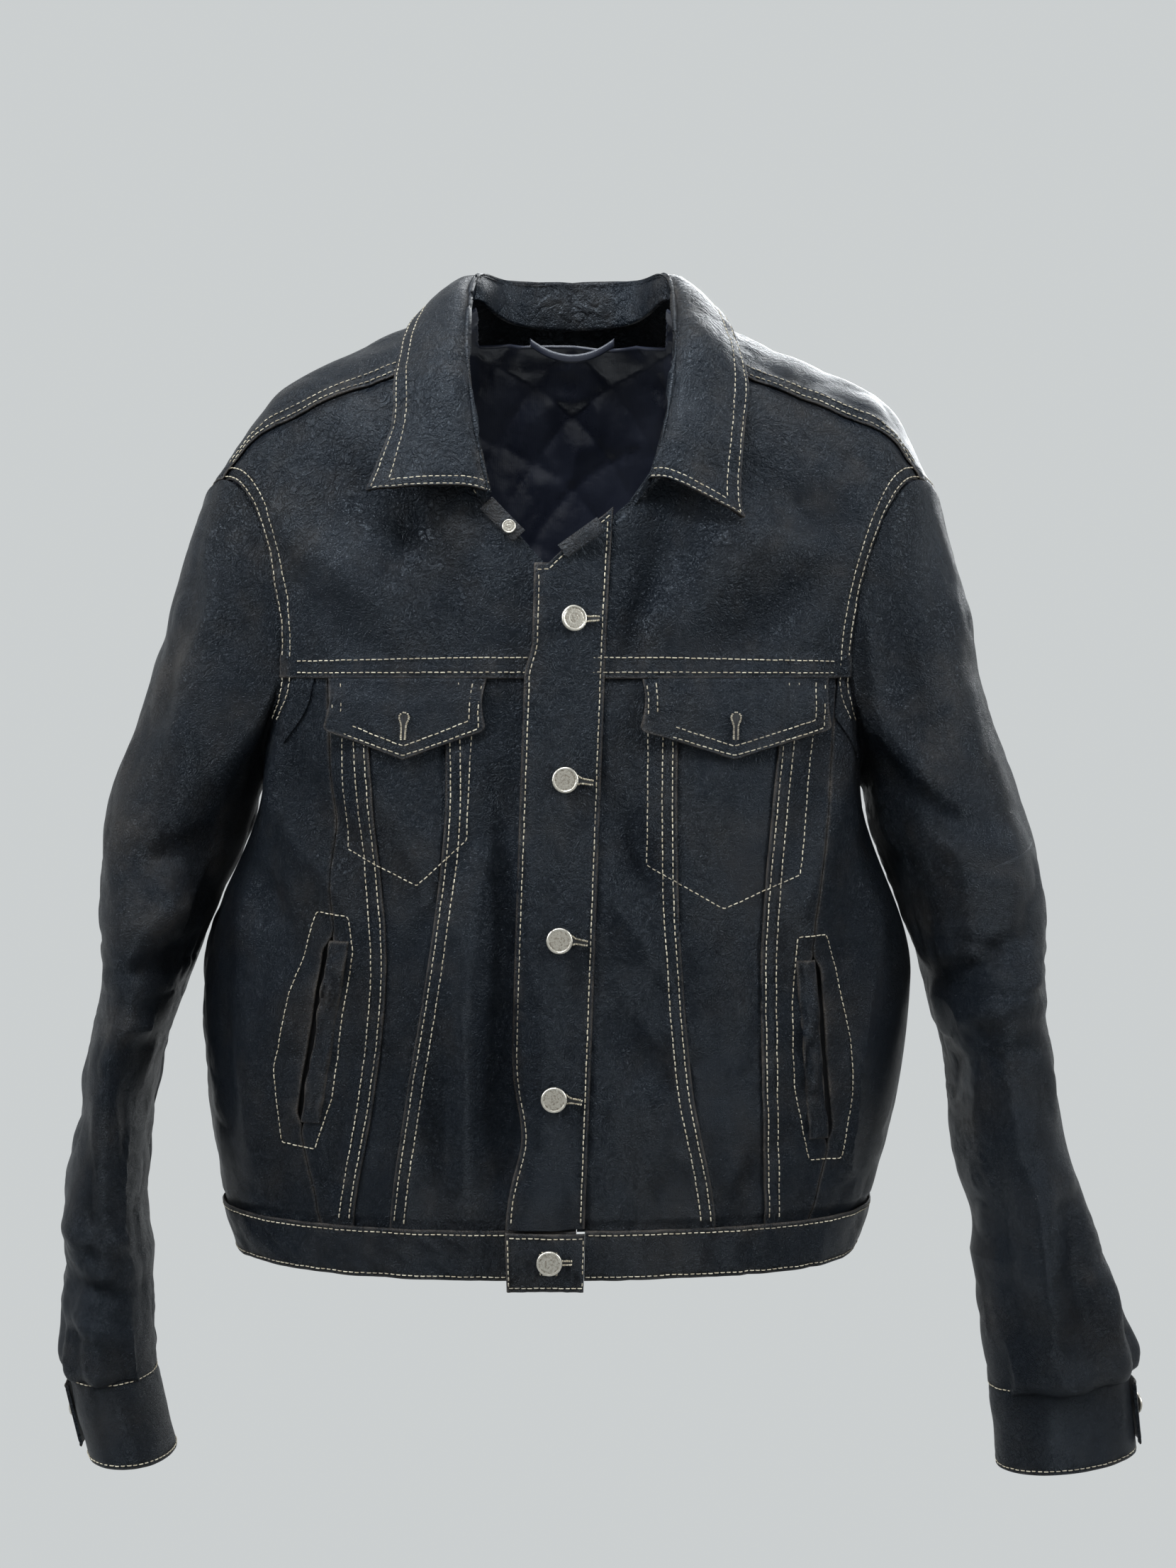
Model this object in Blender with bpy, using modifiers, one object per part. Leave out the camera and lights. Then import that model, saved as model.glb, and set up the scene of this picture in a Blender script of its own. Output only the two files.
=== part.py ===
"""Leather jacket of trucker cut, hung up and buttoned; metres, +Z up, front faces -Y.

The origin sits in the neck at the height where a hanger carries the shoulders.
"left" and "right" are the wearer's; the wearer's left is +X.
"""
import math

import bmesh
import bpy
from mathutils import Matrix, Vector

# ---- thicknesses and clearances -------------------------------------------------
LEATHER = 0.0020            # body leather with its fused backing
BAND = 0.0040               # waistband and cuffs, two layers folded
LINING = 0.0020             # quilted satin
LINING_EASE = 0.0034        # room between the leather and the lining
GAP = 0.0004                # clearance kept between neighbouring pieces

# ---- body -----------------------------------------------------------------------
YOKE_Z = -0.235             # height of the chest yoke seam
PANEL_DROP = 0.369          # yoke seam to waist seam
BAND_HEIGHT = 0.035
BAND_END = 0.3              # degrees kept free at each end of a waistband piece
CHEST_HALF_WIDTH = 0.206
BELLY_HALF_WIDTH = 0.2505
HEM_HALF_WIDTH = 0.219
CHEST_HALF_DEPTH = 0.107
BELLY_HALF_DEPTH = 0.115
HEM_HALF_DEPTH = 0.105
BELLY_DROP = 0.212          # yoke seam to the fullest level
CHEST_POWER = 4.0           # squareness of the section at the chest
BELLY_POWER = 2.4
SWAY_TOP = 0.0145           # sideways hang of the shoulders against the hem
SWAY_HEM = -0.003

# ---- shoulders ------------------------------------------------------------------
NECK_HALF_WIDTH = 0.068
RIDGE_TOP = 0.026           # ridge height beside the neck
RIDGE_SLOPE = 0.46
TIP_START = 0.20            # where the ridge bends over the hanger's end
TIP_BEND = 19.0
SHOULDER_SPREAD = 0.34
SHOULDER_SEAM = 0.65        # share of the front arch below the shoulder seam
NECK_BACK_Y = 0.045
NECK_DROP = 0.160

# ---- armhole, as girth angles from the centre front -------------------------------
ARMHOLE_ANGLE = 68.0
SIDE_ANGLE = 90.0
ARMHOLE_DROP = 0.075

# ---- front seams: distance from the centre at five even levels ------------------
INNER_SEAM = {"left": (0.075, 0.077, 0.083, 0.095, 0.114),
              "right": (0.079, 0.075, 0.082, 0.094, 0.104)}
OUTER_SEAM = {"left": (0.146, 0.141, 0.138, 0.143, 0.149),
              "right": (0.131, 0.123, 0.112, 0.117, 0.130)}
BACK_SEAM = (0.110, 0.104, 0.098, 0.092, 0.086)

# ---- front closing --------------------------------------------------------------
PLACKET_HALF = 0.0265
STAND_REACH = 0.021         # how far the button stand runs under the placket
PLACKET_LIFT = 0.0045
TAB_LIFT = 0.0068
TAB_EXTRA = 0.006           # the waist tab hangs lower than the hem
BUTTON_RADIUS = 0.0085
BUTTON_THICKNESS = 0.0022
BUTTON_DISH = 0.0005        # depth of the face inside its rim
SHANK_RADIUS = 0.0018
BUTTON_PITCH = 0.1053
BUTTON_TOP_Z = -0.197
BUTTON_COUNT = 4
HOLE_LENGTH = 0.020
HOLE_WIDTH = 0.0044
BUTTON_SHIFT = -0.003       # buttons sit a little to the wearer's right of centre

# ---- chest pockets --------------------------------------------------------------
FLAP_INNER = 0.051
FLAP_OUTER = {"left": 0.176, "right": 0.157}
FLAP_SIDE_DROP = 0.035
FLAP_TIP_DROP = 0.054
FLAP_LIFT = 0.0042
FLAP_TIP_LIFT = 0.0092
POCKET_BUTTON_RADIUS = 0.0075
POCKET_BUTTON_THICKNESS = 0.0018
CHEST_SLIT_DROP = 0.010      # the pocket mouth is a notch in the panels' top edge
CHEST_BAG_DROP = 0.140

# ---- hand pockets ---------------------------------------------------------------
POCKET_EASE = 0.0024        # room between a panel and the pocket pieces behind it
POCKET_TOP = {"left": (0.172, -0.416), "right": (0.148, -0.402)}
POCKET_END = {"left": (0.190, -0.556), "right": (0.166, -0.542)}
SLOT_WIDTH = 0.016
WELT_WIDTH = 0.012          # the welt covers the slot's front half

# ---- sleeves: inner z, stand-off from the body, outer z, width, y, half depth ------
SLEEVE_RINGS = {
    "left": ((-0.316, 0.0040, -0.118, 0.052, 0.000, 0.078),
             (-0.330, 0.0040, -0.200, 0.071, 0.000, 0.080),
             (-0.350, 0.0040, -0.275, 0.084, -0.002, 0.080),
             (-0.385, 0.0040, -0.345, 0.093, -0.006, 0.076),
             (-0.436, 0.0060, -0.425, 0.085, -0.012, 0.072),
             (-0.500, 0.0270, -0.497, 0.075, -0.018, 0.068),
             (-0.565, 0.0450, -0.565, 0.079, -0.024, 0.062),
             (-0.630, 0.0760, -0.630, 0.089, -0.030, 0.054),
             (-0.700, 0.0880, -0.690, 0.097, -0.034, 0.042),
             (-0.735, 0.0930, -0.722, 0.096, -0.035, 0.034)),
    "right": ((-0.316, 0.0040, -0.118, 0.052, 0.000, 0.078),
              (-0.330, 0.0040, -0.195, 0.069, 0.000, 0.080),
              (-0.350, 0.0040, -0.265, 0.080, -0.002, 0.080),
              (-0.385, 0.0040, -0.335, 0.082, -0.006, 0.078),
              (-0.436, 0.0060, -0.425, 0.060, -0.012, 0.075),
              (-0.500, 0.0280, -0.497, 0.045, -0.020, 0.070),
              (-0.565, 0.0450, -0.565, 0.046, -0.028, 0.064),
              (-0.630, 0.0580, -0.630, 0.054, -0.034, 0.058),
              (-0.690, 0.0580, -0.690, 0.061, -0.038, 0.048),
              (-0.722, 0.0560, -0.722, 0.058, -0.040, 0.040))}
ELBOW_RING = 4
SLEEVE_SEAM_GAP = 0.0032    # the two sleeve halves stop short of their seam
CUFF_HEIGHT = 0.056
CUFF_TILT = {"left": 0.012, "right": -0.026}
CUFF_TAB_START = -32.0
CUFF_TAB_END = 14.0
CUFF_TAB_LIFT = 0.0065

# ---- collar: roll line and outer edge from the centre back to the front end ----------
COLLAR_SEAM = ((0.0, 0.047, 0.010), (0.042, 0.036, 0.014), (0.065, 0.002, 0.028))
COLLAR_ROLL = ((0.0, 0.052, 0.047), (0.046, 0.040, 0.047), (0.0665, 0.000, 0.044),
               (0.0690, -0.064, -0.004), (0.0630, -0.092, -0.060), (0.0520, -0.106, -0.112))
COLLAR_EDGE = ((0.0, 0.073, -0.010), (0.074, 0.064, -0.008), (0.1020, -0.004, 0.018),
               (0.1180, -0.064, -0.030), (0.1180, -0.088, -0.076), (0.1235, -0.104, -0.122))
COLLAR_THICKNESS = 0.0026
COLLAR_BULGE = 0.004

SIDES = (("left", 1), ("right", -1))


# ---- scene helpers --------------------------------------------------------------
def clear_scene():
    for item in list(bpy.data.objects):
        bpy.data.objects.remove(item)


def collection(name):
    group = bpy.data.collections.new(name)
    bpy.context.scene.collection.children.link(group)
    return group


def material(name, colour, roughness, metallic=0.0):
    surface = bpy.data.materials.new(name)
    surface.use_nodes = True
    shader = surface.node_tree.nodes["Principled BSDF"]
    shader.inputs["Base Color"].default_value = (*colour, 1.0)
    shader.inputs["Roughness"].default_value = roughness
    shader.inputs["Metallic"].default_value = metallic
    return surface


clear_scene()
JACKET = collection("leather_jacket")
CUTTERS = collection("jacket_cutters")
LEATHER_BLACK = (0.016, 0.018, 0.024)
SATIN_BLACK = (0.008, 0.009, 0.016)
NICKEL = (0.52, 0.49, 0.43)


def add_object(name, mesh, pivot, group=None):
    """Link a mesh drawn in world metres with its origin moved to the pivot."""
    mesh.transform(Matrix.Translation(-pivot))
    item = bpy.data.objects.new(name, mesh)
    item.location = pivot
    (group or JACKET).objects.link(item)
    return item


def sheet(name, rows, thickness, colour=LEATHER_BLACK, roughness=0.45, pivot=Vector()):
    """A thin closed piece: a grid of points thickened towards its inner side."""
    width = len(rows[0])
    points = [point for row in rows for point in row]
    faces = []
    for r in range(len(rows) - 1):
        for c in range(width - 1):
            a = r * width + c
            faces.append((a, a + width, a + width + 1, a + 1))
    mesh = bpy.data.meshes.new(name)
    mesh.from_pydata(points, [], faces)
    item = add_object(name, mesh, pivot)
    solid = item.modifiers.new("thickness", "SOLIDIFY")
    solid.thickness = thickness
    solid.offset = -1.0
    solid.use_even_offset = True
    item.data.materials.append(material(name, colour, roughness))
    return item


def cut(item, cutter):
    trim = item.modifiers.new("cut_" + cutter.name, "BOOLEAN")
    trim.operation = "DIFFERENCE"
    trim.solver = "EXACT"
    trim.object = cutter


def as_cutter(item):
    item.hide_render = True
    item.display_type = "WIRE"
    return item


def box_cutter(name, centre, axes, size):
    """A box cutter; axes are its three unit directions."""
    mesh = bpy.data.meshes.new(name)
    shape = bmesh.new()
    bmesh.ops.create_cube(shape, size=1.0)
    for corner in shape.verts:
        local = corner.co.copy()
        corner.co = sum((axes[i] * local[i] * size[i] for i in range(3)), Vector())
    shape.normal_update()
    bmesh.ops.recalc_face_normals(shape, faces=shape.faces)
    shape.to_mesh(mesh)
    shape.free()
    mesh.transform(Matrix.Translation(centre))
    return as_cutter(add_object(name, mesh, Vector(), CUTTERS))


def prism_cutter(name, outline, y_front, y_back):
    """A cutter with an outline in XZ running from y_front to y_back."""
    count = len(outline)
    points = [(x, y, z) for y in (y_front, y_back) for x, z in outline]
    faces = [tuple(range(count)), tuple(range(2 * count - 1, count - 1, -1))]
    for i in range(count):
        j = (i + 1) % count
        faces.append((i, i + count, j + count, j))
    mesh = bpy.data.meshes.new(name)
    mesh.from_pydata(points, [], faces)
    shape = bmesh.new()
    shape.from_mesh(mesh)
    shape.normal_update()
    bmesh.ops.recalc_face_normals(shape, faces=shape.faces)
    shape.to_mesh(mesh)
    shape.free()
    return as_cutter(add_object(name, mesh, Vector(), CUTTERS))


# ---- curve helpers --------------------------------------------------------------
def smooth(t):
    t = min(max(t, 0.0), 1.0)
    return t * t * (3 - 2 * t)


def mix(a, b, t):
    return a + (b - a) * t


def steps(start, end, count):
    return [mix(start, end, i / count) for i in range(count + 1)]


def profile(values, t):
    """A smooth curve through evenly spaced values; t runs from 0 to 1."""
    spot = min(max(t, 0.0), 1.0) * (len(values) - 1)
    i = min(int(spot), len(values) - 2)
    f = spot - i
    before = values[max(i - 1, 0)]
    start = values[i]
    end = values[i + 1]
    after = values[min(i + 2, len(values) - 1)]
    rise = (end - before) * 0.5
    leave = (after - start) * 0.5
    return (start * (2 * f ** 3 - 3 * f ** 2 + 1) + rise * (f ** 3 - 2 * f ** 2 + f)
            + end * (3 * f ** 2 - 2 * f ** 3) + leave * (f ** 3 - f ** 2))


# ---- body surface ---------------------------------------------------------------
def section(drop):
    """Half width, half depth and squareness of the body below the yoke seam."""
    full = smooth((drop - 0.070) / (BELLY_DROP - 0.070))
    below = max(0.0, (drop - BELLY_DROP) / (PANEL_DROP + BAND_HEIGHT - BELLY_DROP)) ** 2
    width = mix(CHEST_HALF_WIDTH, BELLY_HALF_WIDTH, full)
    width += (HEM_HALF_WIDTH - BELLY_HALF_WIDTH) * below
    depth = mix(CHEST_HALF_DEPTH, BELLY_HALF_DEPTH, smooth(drop / BELLY_DROP))
    depth += (HEM_HALF_DEPTH - BELLY_HALF_DEPTH) * below
    return width, depth, mix(CHEST_POWER, BELLY_POWER, full)


def ridge(x):
    """Height of the shoulder line at a distance from the centre."""
    reach = abs(x)
    fall = max(0.0, reach - NECK_HALF_WIDTH) * RIDGE_SLOPE
    return RIDGE_TOP - fall - TIP_BEND * max(0.0, reach - TIP_START) ** 2


def sway(z):
    share = (z - YOKE_Z + PANEL_DROP) / (PANEL_DROP + 0.115)
    return mix(SWAY_HEM, SWAY_TOP, min(max(share, 0.0), 1.0))


def girth_point(angle, drop):
    width, depth, power = section(drop)
    turn = math.radians(angle)
    reach = (abs(math.cos(turn) / depth) ** power + abs(math.sin(turn) / width) ** power)
    reach **= -1 / power
    return reach * math.sin(turn), -reach * math.cos(turn)


def surface_point(angle, level):
    """level < 0 is metres below the front yoke seam; 0 to 2 arches over the shoulder
    to the back yoke seam; above 2 is 2 plus metres below the back yoke seam."""
    if level < 0:
        x, y = girth_point(angle, -level)
        z = YOKE_Z + level
    elif level > 2:
        x, y = girth_point(angle, level - 2)
        y = -y
        z = YOKE_Z - (level - 2)
    else:
        x, y = girth_point(angle, 0.0)
        arch = math.radians(90 * level)
        x *= 1 + SHOULDER_SPREAD * math.sin(arch) ** 2
        y *= math.cos(arch)
        z = YOKE_Z + (ridge(x) - YOKE_Z) * math.sin(arch)
    return Vector((x + sway(z), y, z))


def surface_normal(angle, level):
    along = surface_point(angle + 0.5, level) - surface_point(angle - 0.5, level)
    down = surface_point(angle, level - 0.004) - surface_point(angle, level + 0.004)
    return down.cross(along).normalized()


def body_point(angle, level, lift=0.0):
    return surface_point(angle, level) + surface_normal(angle, level) * lift


def angle_at(x, level):
    """Girth angle of a distance from the centre, on the front below the yoke seam."""
    width, depth, power = section(max(0.0, -level))
    share = min(abs(x) / width, 0.9999)
    deep = depth * (1 - share ** power) ** (1 / power)
    return math.degrees(math.atan2(x, deep))


def armhole_angle(level):
    """Edge of the armhole: straight above the yoke seam, curving under the arm below."""
    drop = max(0.0, -level, level - 2)
    share = min(drop / ARMHOLE_DROP, 1.0)
    return mix(ARMHOLE_ANGLE, SIDE_ANGLE, share ** 2)


def front_point(x, z, lift=0.0):
    """Point of the front above the yoke seam from its distance and height."""
    rise = (z - YOKE_Z) / (ridge(x) - YOKE_Z)
    angle = angle_at(x / (1 + SHOULDER_SPREAD * rise ** 2), 0.0)
    angle = math.copysign(angle, x)
    return body_point(angle, math.degrees(math.asin(rise)) / 90, lift)


def seam_x(table, level):
    return profile(table, -level / PANEL_DROP)


def even_angles(start, end, level, columns):
    """Girth angles that split the cloth between two angles into equal lengths."""
    samples = steps(start, end, 48)
    points = [surface_point(angle, level) for angle in samples]
    run = [0.0]
    for a, b in zip(points, points[1:]):
        run.append(run[-1] + (b - a).length)
    angles = []
    k = 0
    for c in range(columns + 1):
        goal = run[-1] * c / columns
        while k < 47 and run[k + 1] < goal:
            k += 1
        angles.append(mix(samples[k], samples[k + 1], (goal - run[k]) / (run[k + 1] - run[k])))
    return angles


def patch(start, end, levels, columns, lift=0.0):
    """Grid on the body between two edges given as angles of the level."""
    rows = []
    for level in levels:
        angles = even_angles(start(level), end(level), level, columns)
        rows.append([body_point(angle, level, lift) for angle in angles])
    return rows


def mirrored(rows, side):
    """Swap the wearer's left grid to the given side, keeping the outer face outside."""
    if side > 0:
        return rows
    return [list(reversed(row)) for row in rows]


def side_patch(side, start, end, levels, columns, lift=0.0):
    """A patch whose edges are given as positive angles, laid on the named side."""
    rows = patch(lambda v: side * start(v), lambda v: side * end(v), levels, columns, lift)
    return mirrored(rows, side)


# ---- body panels ----------------------------------------------------------------
FRONT_LEVELS = [-GAP, -0.030, -0.075, -0.125, -0.180, -0.240, -0.300, GAP - PANEL_DROP]
BACK_LEVELS = [2 + PANEL_DROP - GAP, 2.30, 2.24, 2.18, 2.125, 2.075, 2.030, 2 + GAP]
NECK_OUTLINE = ((-0.069, 0.10), (-0.069, -0.020), (-0.060, -0.112), (-0.017, -NECK_DROP),
                (-0.009, -NECK_DROP), (0.038, -0.120), (0.062, -0.085), (0.069, -0.020),
                (0.069, 0.10))
FACING_LINES = {"left": ((0.021, -0.1365), (-0.004, -0.154)),
                "right": ((-0.056, -0.121), (-0.0335, -0.143))}
FACING_LIFT = {"left": 0.0078, "right": 0.0032}
TACK_SPOT = (-0.0400, -0.1365)      # the collar button's back, on the right facing
TACK_RADIUS = 0.0045
TACK_THICKNESS = 0.0012
TACK_SHANK = 0.0008


def neck_cutter():
    outline = [(x + SWAY_TOP, z) for x, z in NECK_OUTLINE]
    return prism_cutter("neck_cutter", outline, -0.25, NECK_BACK_Y)


def panel_edges(name):
    """Seam angles of one front side, from the placket to the armhole."""
    placket = PLACKET_HALF if name == "left" else PLACKET_HALF + 0.009
    return (lambda v: angle_at(placket, v) + 0.15,
            lambda v: angle_at(seam_x(INNER_SEAM[name], v), v),
            lambda v: angle_at(seam_x(OUTER_SEAM[name], v), v),
            lambda v: armhole_angle(v) - 0.15)


def between(edge, shift):
    return lambda v: edge(v) + shift


def front_panels(name, side, pocket_slot, chest_slit):
    edges = panel_edges(name)
    labels = (("front_centre_panel", 4), ("front_middle_panel", 4), ("front_side_panel", 9))
    for i, (label, columns) in enumerate(labels):
        rows = side_patch(side, between(edges[i], 0.12), between(edges[i + 1], -0.12),
                          FRONT_LEVELS, columns)
        item = sheet(label + "_" + name, rows, LEATHER)
        cut(item, chest_slit)
        if i == 2:
            cut(item, pocket_slot)


def front_yoke(name, side, neck):
    inner = panel_edges(name)[0](0)
    rows = side_patch(side, lambda v: inner, lambda v: ARMHOLE_ANGLE - 0.3,
                      steps(SHOULDER_SEAM - 0.004, GAP, 7), 12)
    cut(sheet("front_yoke_" + name, rows, LEATHER), neck)


def back_panels():
    def seam(v):
        return angle_at(profile(BACK_SEAM, (v - 2) / PANEL_DROP), 2 - v)
    rows = patch(lambda v: -seam(v) + 0.12, lambda v: seam(v) - 0.12, BACK_LEVELS, 10)
    sheet("back_centre_panel", rows, LEATHER)
    for name, side in SIDES:
        rows = side_patch(side, lambda v: seam(v) + 0.12,
                          lambda v: armhole_angle(v) - 0.15, BACK_LEVELS, 9)
        sheet("back_side_panel_" + name, rows, LEATHER)


def back_yoke(neck):
    rows = patch(lambda v: 0.3 - ARMHOLE_ANGLE, lambda v: ARMHOLE_ANGLE - 0.3,
                 steps(2 - GAP, SHOULDER_SEAM + 0.004, 12), 24)
    cut(sheet("back_yoke", rows, LEATHER), neck)


def dished(steepness, depth, edge):
    """Lift for an inner sheet: shallow at its edges, deeper in the middle."""
    def lift(c, r):
        inside = min(c, 1 - c, r, 1 - r)
        return -(edge + depth * smooth(inside * steepness))
    return lift


def dished_patch(side, start, end, levels, columns, lift):
    rows = []
    for r, level in enumerate(levels):
        angles = even_angles(start(level), end(level), level, columns)
        rows.append([body_point(side * angle, level, lift(c / columns, r / (len(levels) - 1)))
                     for c, angle in enumerate(angles)])
    return mirrored(rows, side)


def linings(neck):
    lift = dished(8, 0.0150, LEATHER + LINING_EASE)
    levels = [SHOULDER_SEAM - 0.030, 0.50, 0.32, 0.14, 0, -0.075, -0.15, -0.225, -0.30,
              -0.34, GAP - PANEL_DROP]
    for name, side in SIDES:
        inner = panel_edges(name)[0]
        rows = dished_patch(side, lambda v: inner(min(v, 0)) + 3.0,
                            lambda v: armhole_angle(v) - 0.5, levels, 16, lift)
        cut(sheet("front_lining_" + name, rows, LINING, SATIN_BLACK, 0.35), neck)
    levels = BACK_LEVELS[:-1] + steps(2, SHOULDER_SEAM + 0.004, 9)
    rows = patch(lambda v: 0.6 - armhole_angle(v), lambda v: armhole_angle(v) - 0.6,
                 levels, 26, -(LEATHER + LINING_EASE))
    cut(sheet("back_lining", rows, LINING, SATIN_BLACK, 0.35), neck)


# ---- fasteners ------------------------------------------------------------------
def lathe(name, outline, base, axis, steps_round=14):
    """Turn an outline of (radius, height) points about an axis through the base."""
    count = len(outline)
    points = []
    for radius, height in outline:
        points.append((radius, 0.0, height))
    mesh = bpy.data.meshes.new(name)
    mesh.from_pydata(points, [(i, i + 1) for i in range(count - 1)], [])
    item = bpy.data.objects.new(name, mesh)
    item.rotation_euler = axis.to_track_quat("Z", "Y").to_euler()
    item.location = base
    JACKET.objects.link(item)
    spin = item.modifiers.new("turn", "SCREW")
    spin.steps = steps_round
    spin.render_steps = steps_round
    spin.use_merge_vertices = True
    spin.merge_threshold = 0.0001
    spin.use_normal_calculate = True
    item.data.materials.append(material(name, NICKEL, 0.38, 0.85))
    return item


def button(name, base, axis, shank, radius=BUTTON_RADIUS, thickness=BUTTON_THICKNESS):
    """A disc with a rolled rim and a dished face on a short shank."""
    top = shank + thickness
    outline = ((0.0, top - BUTTON_DISH), (radius * 0.70, top - BUTTON_DISH),
               (radius * 0.80, top), (radius * 0.94, top), (radius, top - thickness * 0.4),
               (radius * 0.94, shank), (SHANK_RADIUS, shank), (SHANK_RADIUS, 0.0),
               (0.0, 0.0))
    return lathe(name, outline, base, axis)


def button_spot(i):
    """Girth angle and level of a front button; the top one lies above the yoke seam."""
    level = BUTTON_TOP_Z - i * BUTTON_PITCH - YOKE_Z
    angle = angle_at(BUTTON_SHIFT, min(level, 0))
    if level > 0:
        level = math.degrees(math.asin(level / (ridge(0) - YOKE_Z))) / 90
    return angle, level


def front_buttons():
    for i in range(BUTTON_COUNT):
        spot = button_spot(i)
        button("front_button_%d" % (i + 1), body_point(*spot, GAP), surface_normal(*spot),
               PLACKET_LIFT)


def hole_cutter(name, centre, normal):
    across = Vector((1, 0, 0))
    upward = normal.cross(across).normalized()
    shift = across * (HOLE_LENGTH / 2 - 0.0035)
    return box_cutter(name, centre + shift, (across, normal, upward),
                      (HOLE_LENGTH, 0.02, HOLE_WIDTH))


# ---- placket, button stand and waistband ----------------------------------------
def closing(neck):
    levels = [0.36, 0.27, 0.18, 0.09, 0, -0.075, -0.15, -0.225, -0.30, GAP - PANEL_DROP]

    def seam(v):
        return angle_at(PLACKET_HALF, min(v, 0))

    def stand_seam(v):
        return angle_at(PLACKET_HALF + 0.009, min(v, 0))

    def reach(v):
        return angle_at(STAND_REACH, min(v, 0))
    rows = patch(lambda v: 0.1 - stand_seam(v), reach, levels, 4)
    cut(sheet("button_stand", rows, LEATHER), neck)

    hinge = body_point(seam(-0.15), -0.15, PLACKET_LIFT)
    levels[0] = 0.33
    rows = patch(lambda v: -seam(v), lambda v: seam(v) - 0.1, levels, 4, PLACKET_LIFT)
    placket = sheet("buttonhole_placket", rows, LEATHER, pivot=hinge)
    cut(placket, neck)
    for i in range(BUTTON_COUNT):
        spot = button_spot(i)
        cut(placket, hole_cutter("front_hole_%d" % (i + 1), body_point(*spot, PLACKET_LIFT),
                                 surface_normal(*spot)))
    return hinge


def waistband(hinge):
    top = -PANEL_DROP - GAP
    levels = steps(top, top - BAND_HEIGHT, 2)
    centre = angle_at(PLACKET_HALF, -PANEL_DROP)
    reach = angle_at(STAND_REACH, -PANEL_DROP)
    lift = 0.001
    rows = patch(lambda v: centre + 0.2, lambda v: SIDE_ANGLE - BAND_END, levels, 14, lift)
    sheet("waistband_front_left", rows, BAND)
    rows = patch(lambda v: BAND_END - SIDE_ANGLE, lambda v: reach, levels, 16, lift)
    sheet("waistband_front_right", rows, BAND)
    rows = patch(lambda v: SIDE_ANGLE + BAND_END, lambda v: 360 - SIDE_ANGLE - BAND_END,
                 levels, 24, lift)
    sheet("waistband_back", rows, BAND)

    levels = steps(top, top - BAND_HEIGHT - TAB_EXTRA, 2)
    rows = patch(lambda v: -centre, lambda v: centre, levels, 4, TAB_LIFT)
    tab = sheet("waistband_end_tab", rows, BAND * 0.7, pivot=hinge)
    level = top - BAND_HEIGHT * 0.55
    angle = angle_at(BUTTON_SHIFT, level)
    normal = surface_normal(angle, level)
    cut(tab, hole_cutter("waist_hole", body_point(angle, level, TAB_LIFT), normal))
    button("waist_button", body_point(angle, level, lift + GAP), normal, TAB_LIFT - lift)


# ---- chest pockets --------------------------------------------------------------
def flap(name, side):
    outer = FLAP_OUTER[name]
    columns = 8
    rows = []
    for r in range(5):
        row = []
        for c in range(columns + 1):
            share = c / columns
            tip = 1 - abs(2 * share - 1)
            drop = mix(FLAP_SIDE_DROP, FLAP_TIP_DROP, tip)
            level = -GAP * 2 - drop * r / 4
            x = mix(FLAP_INNER, outer, share)
            row.append(body_point(side * angle_at(x, level), level,
                                  mix(FLAP_LIFT, FLAP_TIP_LIFT, smooth(r / 3))))
        rows.append(row)
    middle = (FLAP_INNER + outer) / 2
    pivot = body_point(side * angle_at(middle, 0), -GAP * 2, FLAP_LIFT)
    item = sheet("chest_flap_" + name, mirrored(rows, side), LEATHER * 1.1, pivot=pivot)
    level = -FLAP_TIP_DROP * 0.52
    angle = side * angle_at(middle, level)
    normal = surface_normal(angle, level)
    across = Vector((0, 0, 1)).cross(normal).normalized()
    cut(item, box_cutter("flap_hole_" + name, body_point(angle, level, FLAP_TIP_LIFT),
                         (across, normal, normal.cross(across)),
                         (0.003, 0.02, 0.022)))
    button("chest_button_" + name, body_point(angle, level, GAP), normal, 0.0012,
           POCKET_BUTTON_RADIUS, POCKET_BUTTON_THICKNESS)


def chest_slit(name, side):
    """Mouth of the chest pocket, hidden behind the flap."""
    middle = (FLAP_INNER + FLAP_OUTER[name]) / 2
    level = -CHEST_SLIT_DROP / 2 + 0.002
    angle = side * angle_at(middle, level)
    normal = surface_normal(angle, level)
    across = Vector((0, 0, 1)).cross(normal).normalized()
    return box_cutter("chest_slit_" + name, body_point(angle, level),
                      (across, normal, normal.cross(across)),
                      (0.084, 0.03, CHEST_SLIT_DROP + 0.004))


def pocket_bag(label, name, side, start, end, top, bottom, depth):
    """The inner leaf of a pocket, dished away from the panel that closes it."""
    lift = dished(3.0, depth, LEATHER + LEATHER + POCKET_EASE + GAP * 2)
    columns = 6
    levels = steps(top, bottom, 6)
    rows = dished_patch(side, lambda v: angle_at(start(v), v), lambda v: angle_at(end(v), v),
                        levels, columns, lift)
    sheet(label + "_" + name, rows, 0.0010, SATIN_BLACK, 0.55)


def chest_bag(name, side):
    outer = FLAP_OUTER[name]
    pocket_bag("chest_pocket_bag", name, side, lambda v: FLAP_INNER + 0.010,
               lambda v: outer - 0.012, -0.004, -CHEST_BAG_DROP, 0.0045)


# ---- hand pockets ---------------------------------------------------------------
def slot_line(name, level):
    """Distance from the centre of the slanted hand pocket at a level."""
    top = POCKET_TOP[name]
    end = POCKET_END[name]
    share = (YOKE_Z + level - top[1]) / (end[1] - top[1])
    return mix(top[0], end[0], share)


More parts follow.
